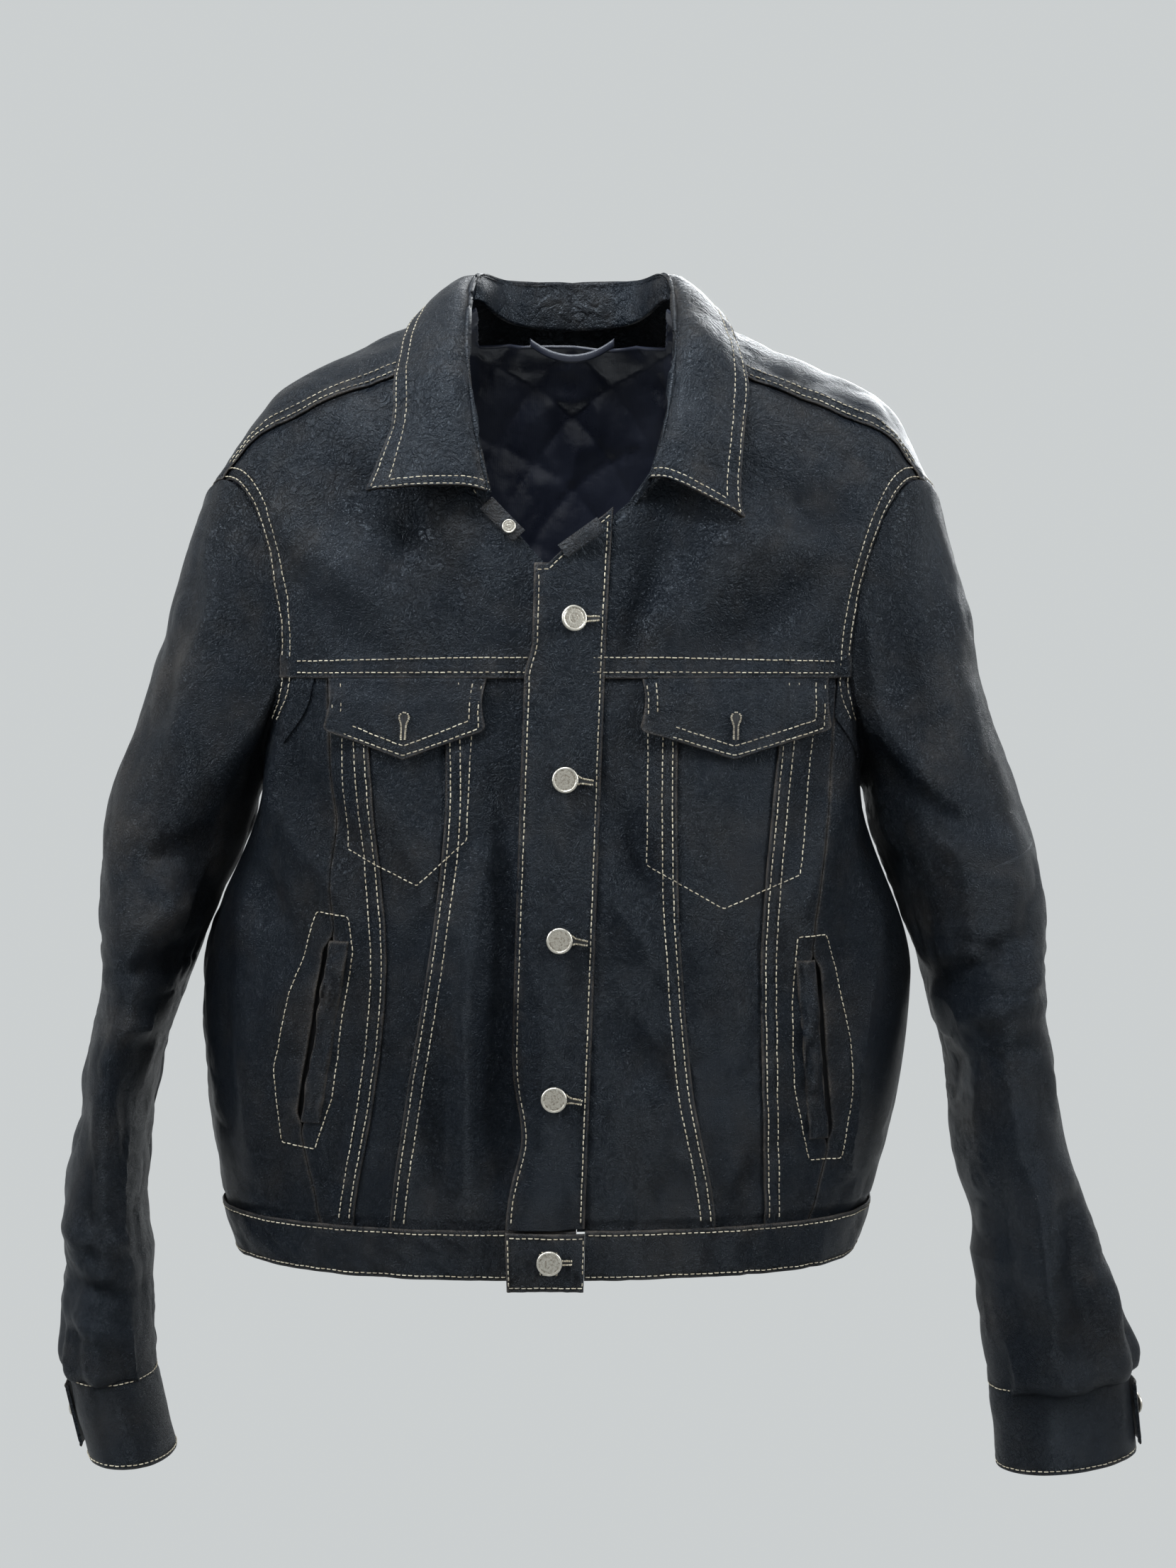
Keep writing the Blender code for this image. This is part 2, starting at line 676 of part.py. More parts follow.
def hand_slot(name, side):
    top = POCKET_TOP[name][1] - YOKE_Z
    end = POCKET_END[name][1] - YOKE_Z
    first = body_point(side * angle_at(slot_line(name, top), top), top)
    last = body_point(side * angle_at(slot_line(name, end), end), end)
    along = (last - first).normalized()
    middle = (top + end) / 2
    normal = surface_normal(side * angle_at(slot_line(name, middle), middle), middle)
    across = normal.cross(along).normalized()
    normal = along.cross(across)
    return box_cutter("hand_slot_" + name, (first + last) / 2, (across, normal, along),
                      (SLOT_WIDTH, 0.05, (last - first).length))


def hand_pocket(name, side):
    top = POCKET_TOP[name][1] - YOKE_Z
    end = POCKET_END[name][1] - YOKE_Z

    def near(v):
        return slot_line(name, v) - SLOT_WIDTH / 2 - WELT_WIDTH / 2

    def far(v):
        return near(v) + WELT_WIDTH
    rows = side_patch(side, lambda v: angle_at(near(v), v), lambda v: angle_at(far(v), v),
                      steps(top + 0.008, end - 0.008, 5), 2, -(LEATHER + POCKET_EASE))
    sheet("hand_pocket_welt_" + name, rows, LEATHER * 0.8)
    pocket_bag("hand_pocket_bag", name, side, lambda v: slot_line(name, v) - 0.052,
               lambda v: slot_line(name, v) + 0.014, top + 0.014, end - 0.026, 0.0085)


# ---- sleeves --------------------------------------------------------------------
def ring_value(name, place, column):
    rings = SLEEVE_RINGS[name]
    return profile([row[column] for row in rings], place / (len(rings) - 1))


def ellipse_point(name, side, place, turn):
    """Point of a sleeve section; turn 0 is outermost, 90 is in front."""
    inner_z = ring_value(name, place, 0)
    outer_z = ring_value(name, place, 2)
    width = ring_value(name, place, 3)
    drop = min(max(0.0, YOKE_Z - inner_z), PANEL_DROP + BAND_HEIGHT)
    inner_x = section(drop)[0] + ring_value(name, place, 1)
    angle = math.radians(turn)
    share = (1 + math.cos(angle)) / 2
    x = inner_x + width * share
    z = mix(inner_z, outer_z, share)
    y = ring_value(name, place, 4) - ring_value(name, place, 5) * math.sin(angle)
    return Vector((side * x + sway(z), y, z))


def armhole_point(side, turn):
    """The armhole edge; turn 0 is the shoulder, 90 the front, 180 the armpit."""
    half = turn % 360
    front = half <= 180
    if not front:
        half = 360 - half
    if half < 105:
        level = 1 - half / 105
        angle = ARMHOLE_ANGLE
    else:
        level = -ARMHOLE_DROP * ((half - 105) / 75) ** 0.8
        angle = armhole_angle(level)
    point = surface_point(side * angle, level)
    if not front:
        point.y = -point.y
    return point + Vector((side * 0.0030, 0, 0))


def sleeve_point(name, side, place, turn):
    point = ellipse_point(name, side, place, turn)
    pull = smooth(1 - place / 2.2)
    if pull > 0:
        point += (armhole_point(side, turn) - ellipse_point(name, side, 0, turn)) * pull
    return point


def sleeve_sheet(label, name, side, places, middle, pivot):
    """Half of a sleeve tube, about the turn in its middle."""
    rows = []
    for place in places:
        short = math.degrees(math.asin(SLEEVE_SEAM_GAP / ring_value(name, place, 3)))
        turns = steps(middle + 90 - short, middle - 90 + short, 8)
        rows.append([sleeve_point(name, side, place, turn) for turn in turns])
    return sheet(label + "_" + name, mirrored(rows, side), LEATHER, pivot=pivot)


def shoulder_pivot(side):
    return surface_point(side * ARMHOLE_ANGLE, 1.0)


def elbow_pivot(name, side):
    """The crease in front of the elbow, where the two sleeve tubes stay together."""
    centre = ellipse_point(name, side, ELBOW_RING, 0) + ellipse_point(name, side, ELBOW_RING, 180)
    centre /= 2
    centre.y = ring_value(name, ELBOW_RING, 4) - ring_value(name, ELBOW_RING, 5)
    return centre


def sleeves(name, side):
    shoulder = shoulder_pivot(side)
    elbow = elbow_pivot(name, side)
    upper = [0, 0.35, 0.8, 1.4, 2.0, 2.7, 3.4, ELBOW_RING - 0.01]
    lower = [ELBOW_RING + 0.01, 4.6, 5.3, 6.0, 6.7, 7.4, 8.1, 9.0]
    for label, middle in (("outer", 0), ("inner", 180)):
        sleeve_sheet("upper_sleeve_" + label, name, side, upper, middle, shoulder)
        sleeve_sheet("lower_sleeve_" + label, name, side, lower, middle, elbow)


def cuff_point(name, side, share, turn, lift=0.0):
    """The cuff continues the last sleeve section downwards, a little tilted."""
    last = len(SLEEVE_RINGS[name]) - 1
    centre = (sleeve_point(name, side, last, 0) + sleeve_point(name, side, last, 180)) / 2
    spoke = sleeve_point(name, side, last, turn) - centre
    ahead = sleeve_point(name, side, last, turn + 3) - sleeve_point(name, side, last, turn - 3)
    out = Vector((ahead.y, -ahead.x, 0)).normalized()
    if out.dot(spoke) < 0:
        out = -out
    fall = GAP * 2 + CUFF_HEIGHT * share
    return (centre + spoke * 0.97 + out * lift
            + Vector((CUFF_TILT[name] * share * 0.5 * side, 0, -fall)))


def cuffs(name, side):
    elbow = elbow_pivot(name, side)
    turns = steps(CUFF_TAB_START + 359, CUFF_TAB_START + 1, 22)
    rows = [[cuff_point(name, side, share, turn) for turn in turns] for share in (0, 0.5, 1)]
    sheet("cuff_" + name, mirrored(rows, side), BAND * 0.8, pivot=elbow)

    hinge = cuff_point(name, side, 0.5, CUFF_TAB_END, CUFF_TAB_LIFT)
    turns = steps(CUFF_TAB_END, CUFF_TAB_START - 8, 4)
    rows = [[cuff_point(name, side, share, turn, CUFF_TAB_LIFT) for turn in turns]
            for share in (0.12, 0.5, 0.88)]
    tab = sheet("cuff_tab_" + name, mirrored(rows, side), LEATHER * 1.2, pivot=hinge)
    turn = CUFF_TAB_START + 16
    base = cuff_point(name, side, 0.5, turn, GAP)
    tip = cuff_point(name, side, 0.5, turn, CUFF_TAB_LIFT)
    normal = (tip - base).normalized()
    upward = Vector((0, 0, 1))
    across = upward.cross(normal).normalized()
    upward = normal.cross(across)
    cut(tab, box_cutter("cuff_hole_" + name, tip, (across, normal, upward),
                        (0.012, 0.02, HOLE_WIDTH)))
    button("cuff_button_" + name, base, normal, CUFF_TAB_LIFT + 0.0014,
           BUTTON_RADIUS * 0.9)


# ---- collar ---------------------------------------------------------------------
def collar_spot(table, place, side):
    """Point of a collar line; place 0 is the centre back, 2 the shoulder, 5 the front end."""
    point = profile([Vector(station) for station in table], place / (len(table) - 1))
    return Vector((side * point.x + SWAY_TOP, point.y, point.z))


def collar_back():
    """Stand and fall of the collar round the back of the neck."""
    places = steps(-1.96, 1.96, 14)
    rows = [[], [], [], [], [], []]
    for place in places:
        side = -1 if place < 0 else 1
        spot = abs(place)
        seam = collar_spot(COLLAR_SEAM, spot, side)
        roll = collar_spot(COLLAR_ROLL, spot, side)
        edge = collar_spot(COLLAR_EDGE, spot, side)
        out = Vector((edge.x - seam.x, edge.y - seam.y, 0)).normalized()
        rows[0].append(edge)
        rows[1].append(mix(edge, roll, 0.5) + out * COLLAR_BULGE)
        rows[2].append(roll + out * 0.0070 - Vector((0, 0, 0.007)))
        rows[3].append(roll + out * 0.0020)
        rows[4].append(roll - out * 0.0030 - Vector((0, 0, 0.007)))
        rows[5].append(seam)
    sheet("collar_back", rows, COLLAR_THICKNESS)


def collar_leaves():
    for name, side in SIDES:
        pivot = collar_spot(COLLAR_ROLL, 3.5, side)
        rows = []
        for place in steps(2.04, 5.0, 7):
            roll = collar_spot(COLLAR_ROLL, place, side)
            edge = collar_spot(COLLAR_EDGE, place, side)
            row = []
            for c in range(6):
                share = c / 5
                point = mix(roll, edge, share)
                point += Vector((0, -0.8, 0.6)) * COLLAR_BULGE * math.sin(math.pi * share)
                row.append(point)
            rows.append(row)
        sheet("collar_leaf_" + name, mirrored(rows, side), COLLAR_THICKNESS, pivot=pivot)


def neck_facings():
    """Turned-out facing strips beside the open neck."""
    for name, side in SIDES:
        top, end = FACING_LINES[name]
        along = Vector((end[0] - top[0], end[1] - top[1])).normalized()
        rows = []
        for share in steps(0, 1, 4):
            x = mix(top[0], end[0], share)
            z = mix(top[1], end[1], share)
            rows.append([front_point(x + side * along.y * -shift, z + side * along.x * shift,
                                     FACING_LIFT[name])
                         for shift in (-0.006, 0.0, 0.005)])
        sheet("neck_facing_" + name, mirrored(rows, side), 0.0012)
    spot = front_point(*TACK_SPOT)
    base = front_point(*TACK_SPOT, FACING_LIFT["right"] + GAP)
    button("collar_button", base, (base - spot).normalized(), TACK_SHANK, TACK_RADIUS,
           TACK_THICKNESS)


def hang_loop():
    pivot = Vector((SWAY_TOP, NECK_BACK_Y - 0.007, 0.004))
    rows = [[], []]
    for share in steps(-1, 1, 8):
        sag = 0.012 * (1 - share ** 2)
        for row, fall in zip(rows, (0.0, 0.006)):
            row.append(Vector((SWAY_TOP + share * 0.030, NECK_BACK_Y - 0.007 - sag * 0.4,
                               0.004 - sag - fall)))
    sheet("hang_loop", rows, 0.0012, pivot=pivot)


def build():
    neck = neck_cutter()
    for name, side in SIDES:
        front_panels(name, side, hand_slot(name, side), chest_slit(name, side))
        front_yoke(name, side, neck)
        chest_bag(name, side)
        hand_pocket(name, side)
        flap(name, side)
        sleeves(name, side)
        cuffs(name, side)
    back_panels()
    back_yoke(neck)
    linings(neck)
    hinge = closing(neck)
    front_buttons()
    waistband(hinge)
    collar_back()
    collar_leaves()
    neck_facings()
    hang_loop()


build()
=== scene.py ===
"""Looks of the leather jacket: draped panels, topstitching, metal buttons, quilted lining.

Everything is in metres in the frame of the CAD model; the front faces -Y.
"left" and "right" are the wearer's; the wearer's left is +X.
"""
import math

import bpy
import numpy as np
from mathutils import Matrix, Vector


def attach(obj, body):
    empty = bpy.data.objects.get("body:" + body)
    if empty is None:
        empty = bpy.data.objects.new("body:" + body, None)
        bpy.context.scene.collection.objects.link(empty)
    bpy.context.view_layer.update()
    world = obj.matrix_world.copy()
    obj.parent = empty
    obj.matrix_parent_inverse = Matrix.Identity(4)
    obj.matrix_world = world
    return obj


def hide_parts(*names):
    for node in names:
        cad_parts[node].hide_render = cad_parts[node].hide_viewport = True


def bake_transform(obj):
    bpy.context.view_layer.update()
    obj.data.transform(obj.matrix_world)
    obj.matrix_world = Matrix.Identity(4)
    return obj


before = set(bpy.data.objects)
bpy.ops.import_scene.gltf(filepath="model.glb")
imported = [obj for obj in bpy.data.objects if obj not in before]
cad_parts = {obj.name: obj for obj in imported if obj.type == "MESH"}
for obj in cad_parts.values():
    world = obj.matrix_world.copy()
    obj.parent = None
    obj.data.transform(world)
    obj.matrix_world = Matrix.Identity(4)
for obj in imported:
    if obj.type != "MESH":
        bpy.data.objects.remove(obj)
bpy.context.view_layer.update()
RNG = np.random.default_rng(4)

# ---- shape of the body, as in the CAD model ------------------------------------------
YOKE_Z = -0.235
PANEL_DROP = 0.369
BAND_HEIGHT = 0.035
CHEST = (0.206, 0.107, 4.0)         # half width, half depth, squareness
BELLY = (0.2505, 0.115, 2.4)
HEM = (0.219, 0.105)
BELLY_DROP = 0.212
SWAY_TOP = 0.0145
SWAY_HEM = -0.003
NECK_HALF_WIDTH = 0.068
SPREAD = 0.34
SHOULDER_SEAM = 0.65
NECK_BACK_Y = 0.045
ARMHOLE_ANGLE = 68.0
ARMHOLE_DROP = 0.075
INNER_SEAM = {"left": (0.075, 0.077, 0.083, 0.095, 0.114),
              "right": (0.079, 0.075, 0.082, 0.094, 0.104)}
OUTER_SEAM = {"left": (0.146, 0.141, 0.138, 0.143, 0.149),
              "right": (0.131, 0.123, 0.112, 0.117, 0.130)}
BACK_SEAM = (0.110, 0.104, 0.098, 0.092, 0.086)
PLACKET_HALF = 0.0265
SLEEVE_RINGS = {
    "left": ((-0.316, 0.0040, -0.118, 0.052, 0.000, 0.078),
             (-0.330, 0.0040, -0.200, 0.071, 0.000, 0.080),
             (-0.350, 0.0040, -0.275, 0.084, -0.002, 0.080),
             (-0.385, 0.0040, -0.345, 0.093, -0.006, 0.076),
             (-0.436, 0.0060, -0.425, 0.085, -0.012, 0.072),
             (-0.500, 0.0270, -0.497, 0.075, -0.018, 0.068),
             (-0.565, 0.0450, -0.565, 0.079, -0.024, 0.062),
             (-0.630, 0.0760, -0.630, 0.089, -0.030, 0.054),
             (-0.700, 0.0880, -0.690, 0.097, -0.034, 0.042),
             (-0.735, 0.0930, -0.722, 0.096, -0.035, 0.034)),
    "right": ((-0.316, 0.0040, -0.118, 0.052, 0.000, 0.078),
              (-0.330, 0.0040, -0.195, 0.069, 0.000, 0.080),
              (-0.350, 0.0040, -0.265, 0.080, -0.002, 0.080),
              (-0.385, 0.0040, -0.335, 0.082, -0.006, 0.078),
              (-0.436, 0.0060, -0.425, 0.060, -0.012, 0.075),
              (-0.500, 0.0280, -0.497, 0.045, -0.020, 0.070),
              (-0.565, 0.0450, -0.565, 0.046, -0.028, 0.064),
              (-0.630, 0.0580, -0.630, 0.054, -0.034, 0.058),
              (-0.690, 0.0580, -0.690, 0.061, -0.038, 0.048),
              (-0.722, 0.0560, -0.722, 0.058, -0.040, 0.040))}
CUFF_HEIGHT = 0.056
CUFF_TILT = {"left": 0.012, "right": -0.026}
COLLAR_SEAM = ((0.0, 0.047, 0.010), (0.042, 0.036, 0.014), (0.065, 0.002, 0.028))
COLLAR_ROLL = ((0.0, 0.052, 0.047), (0.046, 0.040, 0.047), (0.0665, 0.000, 0.044),
               (0.0690, -0.064, -0.004), (0.0630, -0.092, -0.060), (0.0520, -0.106, -0.112))
COLLAR_EDGE = ((0.0, 0.073, -0.010), (0.074, 0.064, -0.008), (0.1020, -0.004, 0.018),
               (0.1180, -0.064, -0.030), (0.1180, -0.088, -0.076), (0.1235, -0.104, -0.122))
NECK_LINE = {"left": ((-0.160, -0.009), (-0.120, 0.038), (-0.085, 0.062), (-0.020, 0.069),
                      (0.10, 0.069)),
             "right": ((-0.160, 0.017), (-0.112, 0.060), (-0.020, 0.069), (0.10, 0.069))}
FLAP_INNER = 0.051
FLAP_OUTER = {"left": 0.176, "right": 0.157}
FLAP_SIDE_DROP = 0.035
FLAP_TIP_DROP = 0.054
POCKET_TOP = {"left": (0.172, -0.416), "right": (0.148, -0.402)}
POCKET_END = {"left": (0.190, -0.556), "right": (0.166, -0.542)}
BUTTON_SHIFT = -0.003
BUTTON_TOP_Z = -0.197
BUTTON_PITCH = 0.1053
TACK_SPOT = (-0.0400, -0.1365)
SIDES = (("left", 1), ("right", -1))

# ---- sewing --------------------------------------------------------------------------
HIDE = 0.0013               # thickness of a leather piece's mesh
FOLDED = 0.0022             # where the leather is folded double
LAP = 0.0012                # how far a lapped edge stands up
ROW_NEAR = 0.0026           # first stitch row from a lapped edge
ROW_FAR = 0.0096            # second row
PITCH = 0.0042              # stitch to stitch
STITCH = 0.0032             # length of thread that shows
THREAD = 0.00040            # its radius
ROW_HEM = 0.0030            # the row beside a turned edge
ROW_FREE = 0.0035           # the row along the placket's free edge
FLAP_ROWS = (ROW_NEAR, 0.0088)
COLLAR_ROWS = (0.0028, 0.0115)
SEAM_GAP = 0.0004           # from a seam to the top of the piece below it
YOKE_REACH = 0.30           # metres of leather to one level at the yoke seams
SHOULDER_REACH = 0.21       # the same at the shoulder seam
STAND_HALF = 0.021          # half width of the button stand
PANEL_START = 0.0215        # where the left front begins beneath the placket


# ---- curves --------------------------------------------------------------------------
def smooth(t):
    t = np.clip(t, 0.0, 1.0)
    return t * t * (3 - 2 * t)


def mix(a, b, t):
    return a + (b - a) * t


def profile(values, t):
    """A smooth curve through evenly spaced values or points; t runs from 0 to 1."""
    values = np.asarray(values, float)
    t = np.asarray(t, float)
    last = len(values) - 1
    spot = np.clip(t, 0.0, 1.0) * last
    i = np.minimum(spot.astype(int), last - 1)
    f = spot - i
    if values.ndim > 1:
        f = f[..., None]
    start, end = values[i], values[i + 1]
    rise = (end - values[np.maximum(i - 1, 0)]) * 0.5
    leave = (values[np.minimum(i + 2, last)] - start) * 0.5
    return (start * (2 * f ** 3 - 3 * f ** 2 + 1) + rise * (f ** 3 - 2 * f ** 2 + f)
            + end * (3 * f ** 2 - 2 * f ** 3) + leave * (f ** 3 - f ** 2))


LATTICE = RNG.uniform(-1, 1, (24, 24, 24))


def noise(points, size, shift=0.0):
    """Smooth noise from -1 to 1; size is the length of one bump, one or three numbers."""
    spot = points / np.asarray(size) + shift
    cell = np.floor(spot).astype(int)
    f = spot - cell
    f = f * f * (3 - 2 * f)
    total = 0.0
    for dx in (0, 1):
        for dy in (0, 1):
            for dz in (0, 1):
                weight = 1.0
                for axis, d in enumerate((dx, dy, dz)):
                    weight = weight * (f[..., axis] if d else 1 - f[..., axis])
                corner = (cell + np.array((dx, dy, dz))) % 24
                total = total + weight * LATTICE[corner[..., 0], corner[..., 1],
                                                 corner[..., 2]]
    return total


def unit(v):
    return v / np.maximum(np.linalg.norm(v, axis=-1, keepdims=True), 1e-12)


# ---- body surface --------------------------------------------------------------------
def section(drop):
    full = smooth((drop - 0.070) / (BELLY_DROP - 0.070))
    below = (drop - BELLY_DROP) / (PANEL_DROP + BAND_HEIGHT - BELLY_DROP)
    below = np.maximum(0.0, below) ** 2
    width = mix(CHEST[0], BELLY[0], full) + (HEM[0] - BELLY[0]) * below
    depth = mix(CHEST[1], BELLY[1], smooth(drop / BELLY_DROP)) + (HEM[1] - BELLY[1]) * below
    return width, depth, mix(CHEST[2], BELLY[2], full)


def ridge(x):
    """Height of the shoulder line at a distance from the centre."""
    reach = np.abs(x)
    return (0.026 - np.maximum(0.0, reach - NECK_HALF_WIDTH) * 0.46
            - 19.0 * np.maximum(0.0, reach - 0.20) ** 2)


def sway(z):
    share = (z - YOKE_Z + PANEL_DROP) / (PANEL_DROP + 0.115)
    return mix(SWAY_HEM, SWAY_TOP, np.clip(share, 0.0, 1.0))


def surface(angle, level):
    """level < 0 is metres below the front yoke seam; 0 to 2 arches over the shoulder to
    the back yoke seam; above 2 is 2 plus metres below the back yoke seam."""
    angle, level = np.broadcast_arrays(np.asarray(angle, float), np.asarray(level, float))
    drop = np.maximum(0.0, np.maximum(-level, level - 2))
    width, depth, power = section(drop)
    turn = np.radians(angle)
    reach = np.abs(np.cos(turn) / depth) ** power + np.abs(np.sin(turn) / width) ** power
    reach = reach ** (-1 / power)
    arch = np.radians(90 * np.clip(level, 0, 2))
    x = reach * np.sin(turn) * (1 + SPREAD * np.sin(arch) ** 2)
    y = -reach * np.cos(turn) * np.cos(arch)
    z = YOKE_Z + (ridge(x) - YOKE_Z) * np.sin(arch) - drop
    return np.stack((x + sway(z), y, z), -1)


def surface_normal(angle, level):
    along = surface(angle + 0.5, level) - surface(angle - 0.5, level)
    down = surface(angle, level - 0.004) - surface(angle, level + 0.004)
    return unit(np.cross(down, along))


def angle_at(x, level):
    """Girth angle of a distance from the centre, below the yoke seams."""
    level = np.asarray(level, float)
    width, depth, power = section(np.maximum(0.0, np.maximum(-level, level - 2)))
    share = np.minimum(np.abs(x) / width, 0.9999)
    deep = depth * (1 - share ** power) ** (1 / power)
    return np.degrees(np.arctan2(x, deep))


def armhole_angle(level):
    level = np.asarray(level, float)
    drop = np.maximum(0.0, np.maximum(-level, level - 2))
    return mix(ARMHOLE_ANGLE, 90.0, np.minimum(drop / ARMHOLE_DROP, 1.0) ** 2)


def shifted(angle, level, distance):
    """The girth angle a distance further round."""
    step = surface(angle + 0.5, level) - surface(angle - 0.5, level)
    return angle + distance / np.maximum(np.linalg.norm(step, axis=-1), 1e-6)


def seam_angle(table, level):
    return angle_at(profile(table, np.abs(np.asarray(level, float)) / PANEL_DROP), level)


def neck_angle(name, level):
    """Where the neck line crosses each level of the front yoke."""
    side = dict(SIDES)[name]
    line = np.array(NECK_LINE[name])
    angles = np.linspace(0.5, ARMHOLE_ANGLE, 120)
    found = []
    for each in np.atleast_1d(level):
        points = surface(side * angles, each)
        x = side * (points[:, 0] - SWAY_TOP)
        gap = x - np.interp(points[:, 2], line[:, 0], line[:, 1])
        found.append(np.interp(0.0, gap, angles))
    return np.array(found)


def front_spot(x, z):
    """Girth angle and level of a point of the front above the yoke seam."""
    rise = (z - YOKE_Z) / (ridge(x) - YOKE_Z)
    angle = angle_at(np.abs(x) / (1 + SPREAD * rise ** 2), 0.0)
    return np.copysign(angle, x), np.degrees(np.arcsin(rise)) / 90


# ---- folds of the body ---------------------------------------------------------------
# each fold: one end (x, z), other end (x, z), half width, height (below 0 is a valley)
FRONT_FOLDS = (
    ((-0.030, -0.300), (-0.028, -0.470), 0.010, -0.0055),
    ((-0.030, -0.440), (-0.031, -0.585), 0.015, -0.0080),
    ((-0.050, -0.360), (-0.056, -0.560), 0.014, 0.0045),
    ((-0.066, -0.470), (-0.075, -0.600), 0.010, -0.0035),
    ((-0.175, -0.290), (-0.120, -0.365), 0.013, -0.0050),
    ((-0.190, -0.315), (-0.128, -0.395), 0.012, 0.0040),
    ((-0.205, -0.360), (-0.165, -0.430), 0.012, -0.0040),
    ((-0.176, -0.245), (-0.188, -0.330), 0.008, 0.0030),
    ((-0.110, -0.300), (-0.060, -0.410), 0.014, 0.0030),
    ((-0.092, -0.420), (-0.048, -0.330), 0.010, -0.0028),
    ((0.075, -0.395), (0.034, -0.300), 0.011, -0.0034),
    ((0.085, -0.440), (0.038, -0.370), 0.011, 0.0036),
    ((0.080, -0.520), (0.036, -0.440), 0.012, -0.0034),
    ((0.105, -0.570), (0.045, -0.500), 0.013, 0.0030),
    ((0.046, -0.240), (0.075, -0.130), 0.013, -0.0060),
    ((0.070, -0.215), (0.150, -0.120), 0.020, 0.0055),
    ((0.110, -0.225), (0.205, -0.150), 0.015, -0.0045),
    ((0.100, -0.090), (0.205, -0.140), 0.018, -0.0035),
    ((0.185, -0.190), (0.222, -0.120), 0.012, 0.0035),
    ((0.200, -0.270), (0.170, -0.400), 0.013, 0.0035),
    ((0.215, -0.330), (0.196, -0.450), 0.012, -0.0035),
    ((0.225, -0.430), (0.205, -0.570), 0.014, 0.0035),
    ((-0.170, -0.080), (-0.060, -0.160), 0.020, -0.0045),
    ((-0.195, -0.120), (-0.090, -0.205), 0.018, 0.0045),
    ((-0.110, -0.175), (-0.080, -0.110), 0.012, -0.0030),
    ((-0.060, -0.215), (-0.035, -0.150), 0.011, 0.0030),
    ((-0.205, -0.460), (-0.196, -0.590), 0.014, 0.0040),
    ((-0.225, -0.420), (-0.222, -0.540), 0.010, -0.0035),
    ((-0.140, -0.540), (-0.155, -0.600), 0.009, -0.0030),
    ((0.140, -0.560), (0.120, -0.605), 0.009, -0.0025),
)
BACK_FOLDS = (
    ((-0.160, -0.250), (-0.060, -0.420), 0.020, 0.0050),
    ((0.170, -0.250), (0.080, -0.430), 0.020, 0.0050),
    ((-0.200, -0.290), (-0.120, -0.460), 0.016, -0.0045),
    ((0.205, -0.290), (0.125, -0.470), 0.016, -0.0045),
    ((-0.030, -0.330), (-0.045, -0.560), 0.016, -0.0040),
    ((0.050, -0.330), (0.055, -0.570), 0.015, -0.0040),
    ((0.010, -0.360), (0.004, -0.580), 0.016, 0.0045),
    ((-0.150, -0.440), (-0.165, -0.590), 0.014, 0.0045),
    ((0.150, -0.440), (0.165, -0.590), 0.014, 0.0045),
    ((-0.215, -0.420), (-0.205, -0.580), 0.012, -0.0035),
    ((0.215, -0.420), (0.205, -0.580), 0.012, -0.0035),
    ((-0.060, -0.060), (-0.140, -0.200), 0.018, -0.0030),
    ((0.085, -0.060), (0.165, -0.200), 0.018, -0.0030),
)


def folds(x, z, table):
    total = np.zeros(np.shape(x))
    for (ax, az), (bx, bz), width, height in table:
        dx, dz = bx - ax, bz - az
        t = np.clip(((x - ax) * dx + (z - az) * dz) / (dx * dx + dz * dz), 0, 1)
        away = (x - ax - dx * t) ** 2 + (z - az - dz * t) ** 2
        total += height * np.exp(-away / width ** 2) * (0.25 + 0.75 * np.sin(np.pi * t))
    return total


def crumple(points, shift=0.0):
    """Creases of worn hide: sharp narrow valleys between rounded swellings."""
    warped = points + 0.004 * np.stack([noise(points, 0.03, 3.1 + k) for k in range(3)], -1)
    patchy = smooth(0.5 + 0.9 * noise(points, (0.07, 0.07, 0.09), 9.4 + shift))
    large = np.abs(noise(warped, (0.020, 0.020, 0.030), 1.7 + shift)) - 0.3
    small = np.abs(noise(warped, (0.0085, 0.0085, 0.0085), 5.2 + shift)) - 0.3
    return 0.0011 * large + 0.00045 * small * patchy


def drape(points, angle, level):
    """How far the cloth stands off the plain body surface, along its normal."""
    x, y, z = points[..., 0], points[..., 1], points[..., 2]
    front = smooth((0.03 - y) / 0.06)
    hand = folds(x, z, FRONT_FOLDS) * front + folds(x, z, BACK_FOLDS) * (1 - front)
    broad = noise(points, (0.050, 0.060, 0.150), 2.3)
    broad = broad + 0.5 * noise(points, (0.03, 0.03, 0.06))
    calm = smooth((armhole_angle(level) - np.abs(angle)) / 7.0)
    calm = np.where(np.abs(level - 1) > 1 + ARMHOLE_DROP, 1.0, 0.15 + 0.85 * calm)
    seam = 1 - 0.55 * np.exp(-((z - YOKE_Z) / 0.02) ** 2)
    hem = 1 - 0.65 * smooth((YOKE_Z - PANEL_DROP + 0.03 - z) / 0.03)
    stand = (1.9 * hand + 0.0042 * broad) * calm * seam * hem + 1.9 * crumple(points)
    beside = smooth((np.abs(np.sin(np.radians(angle))) - 0.88) / 0.09)
    beside = beside * smooth((np.abs(level - 1) - 1) / 0.05)
    return np.minimum(stand, mix(0.03, 0.0006, beside))


def leather(angle, level, lift=0.0):
    """A point of the draped body, its normal and its undraped place."""
    angle, level = np.broadcast_arrays(np.asarray(angle, float), np.asarray(level, float))
    flat = surface(angle, level)
    normal = surface_normal(angle, level)
    stand = drape(flat, angle, level) + lift
    return flat + normal * stand[..., None], normal, flat


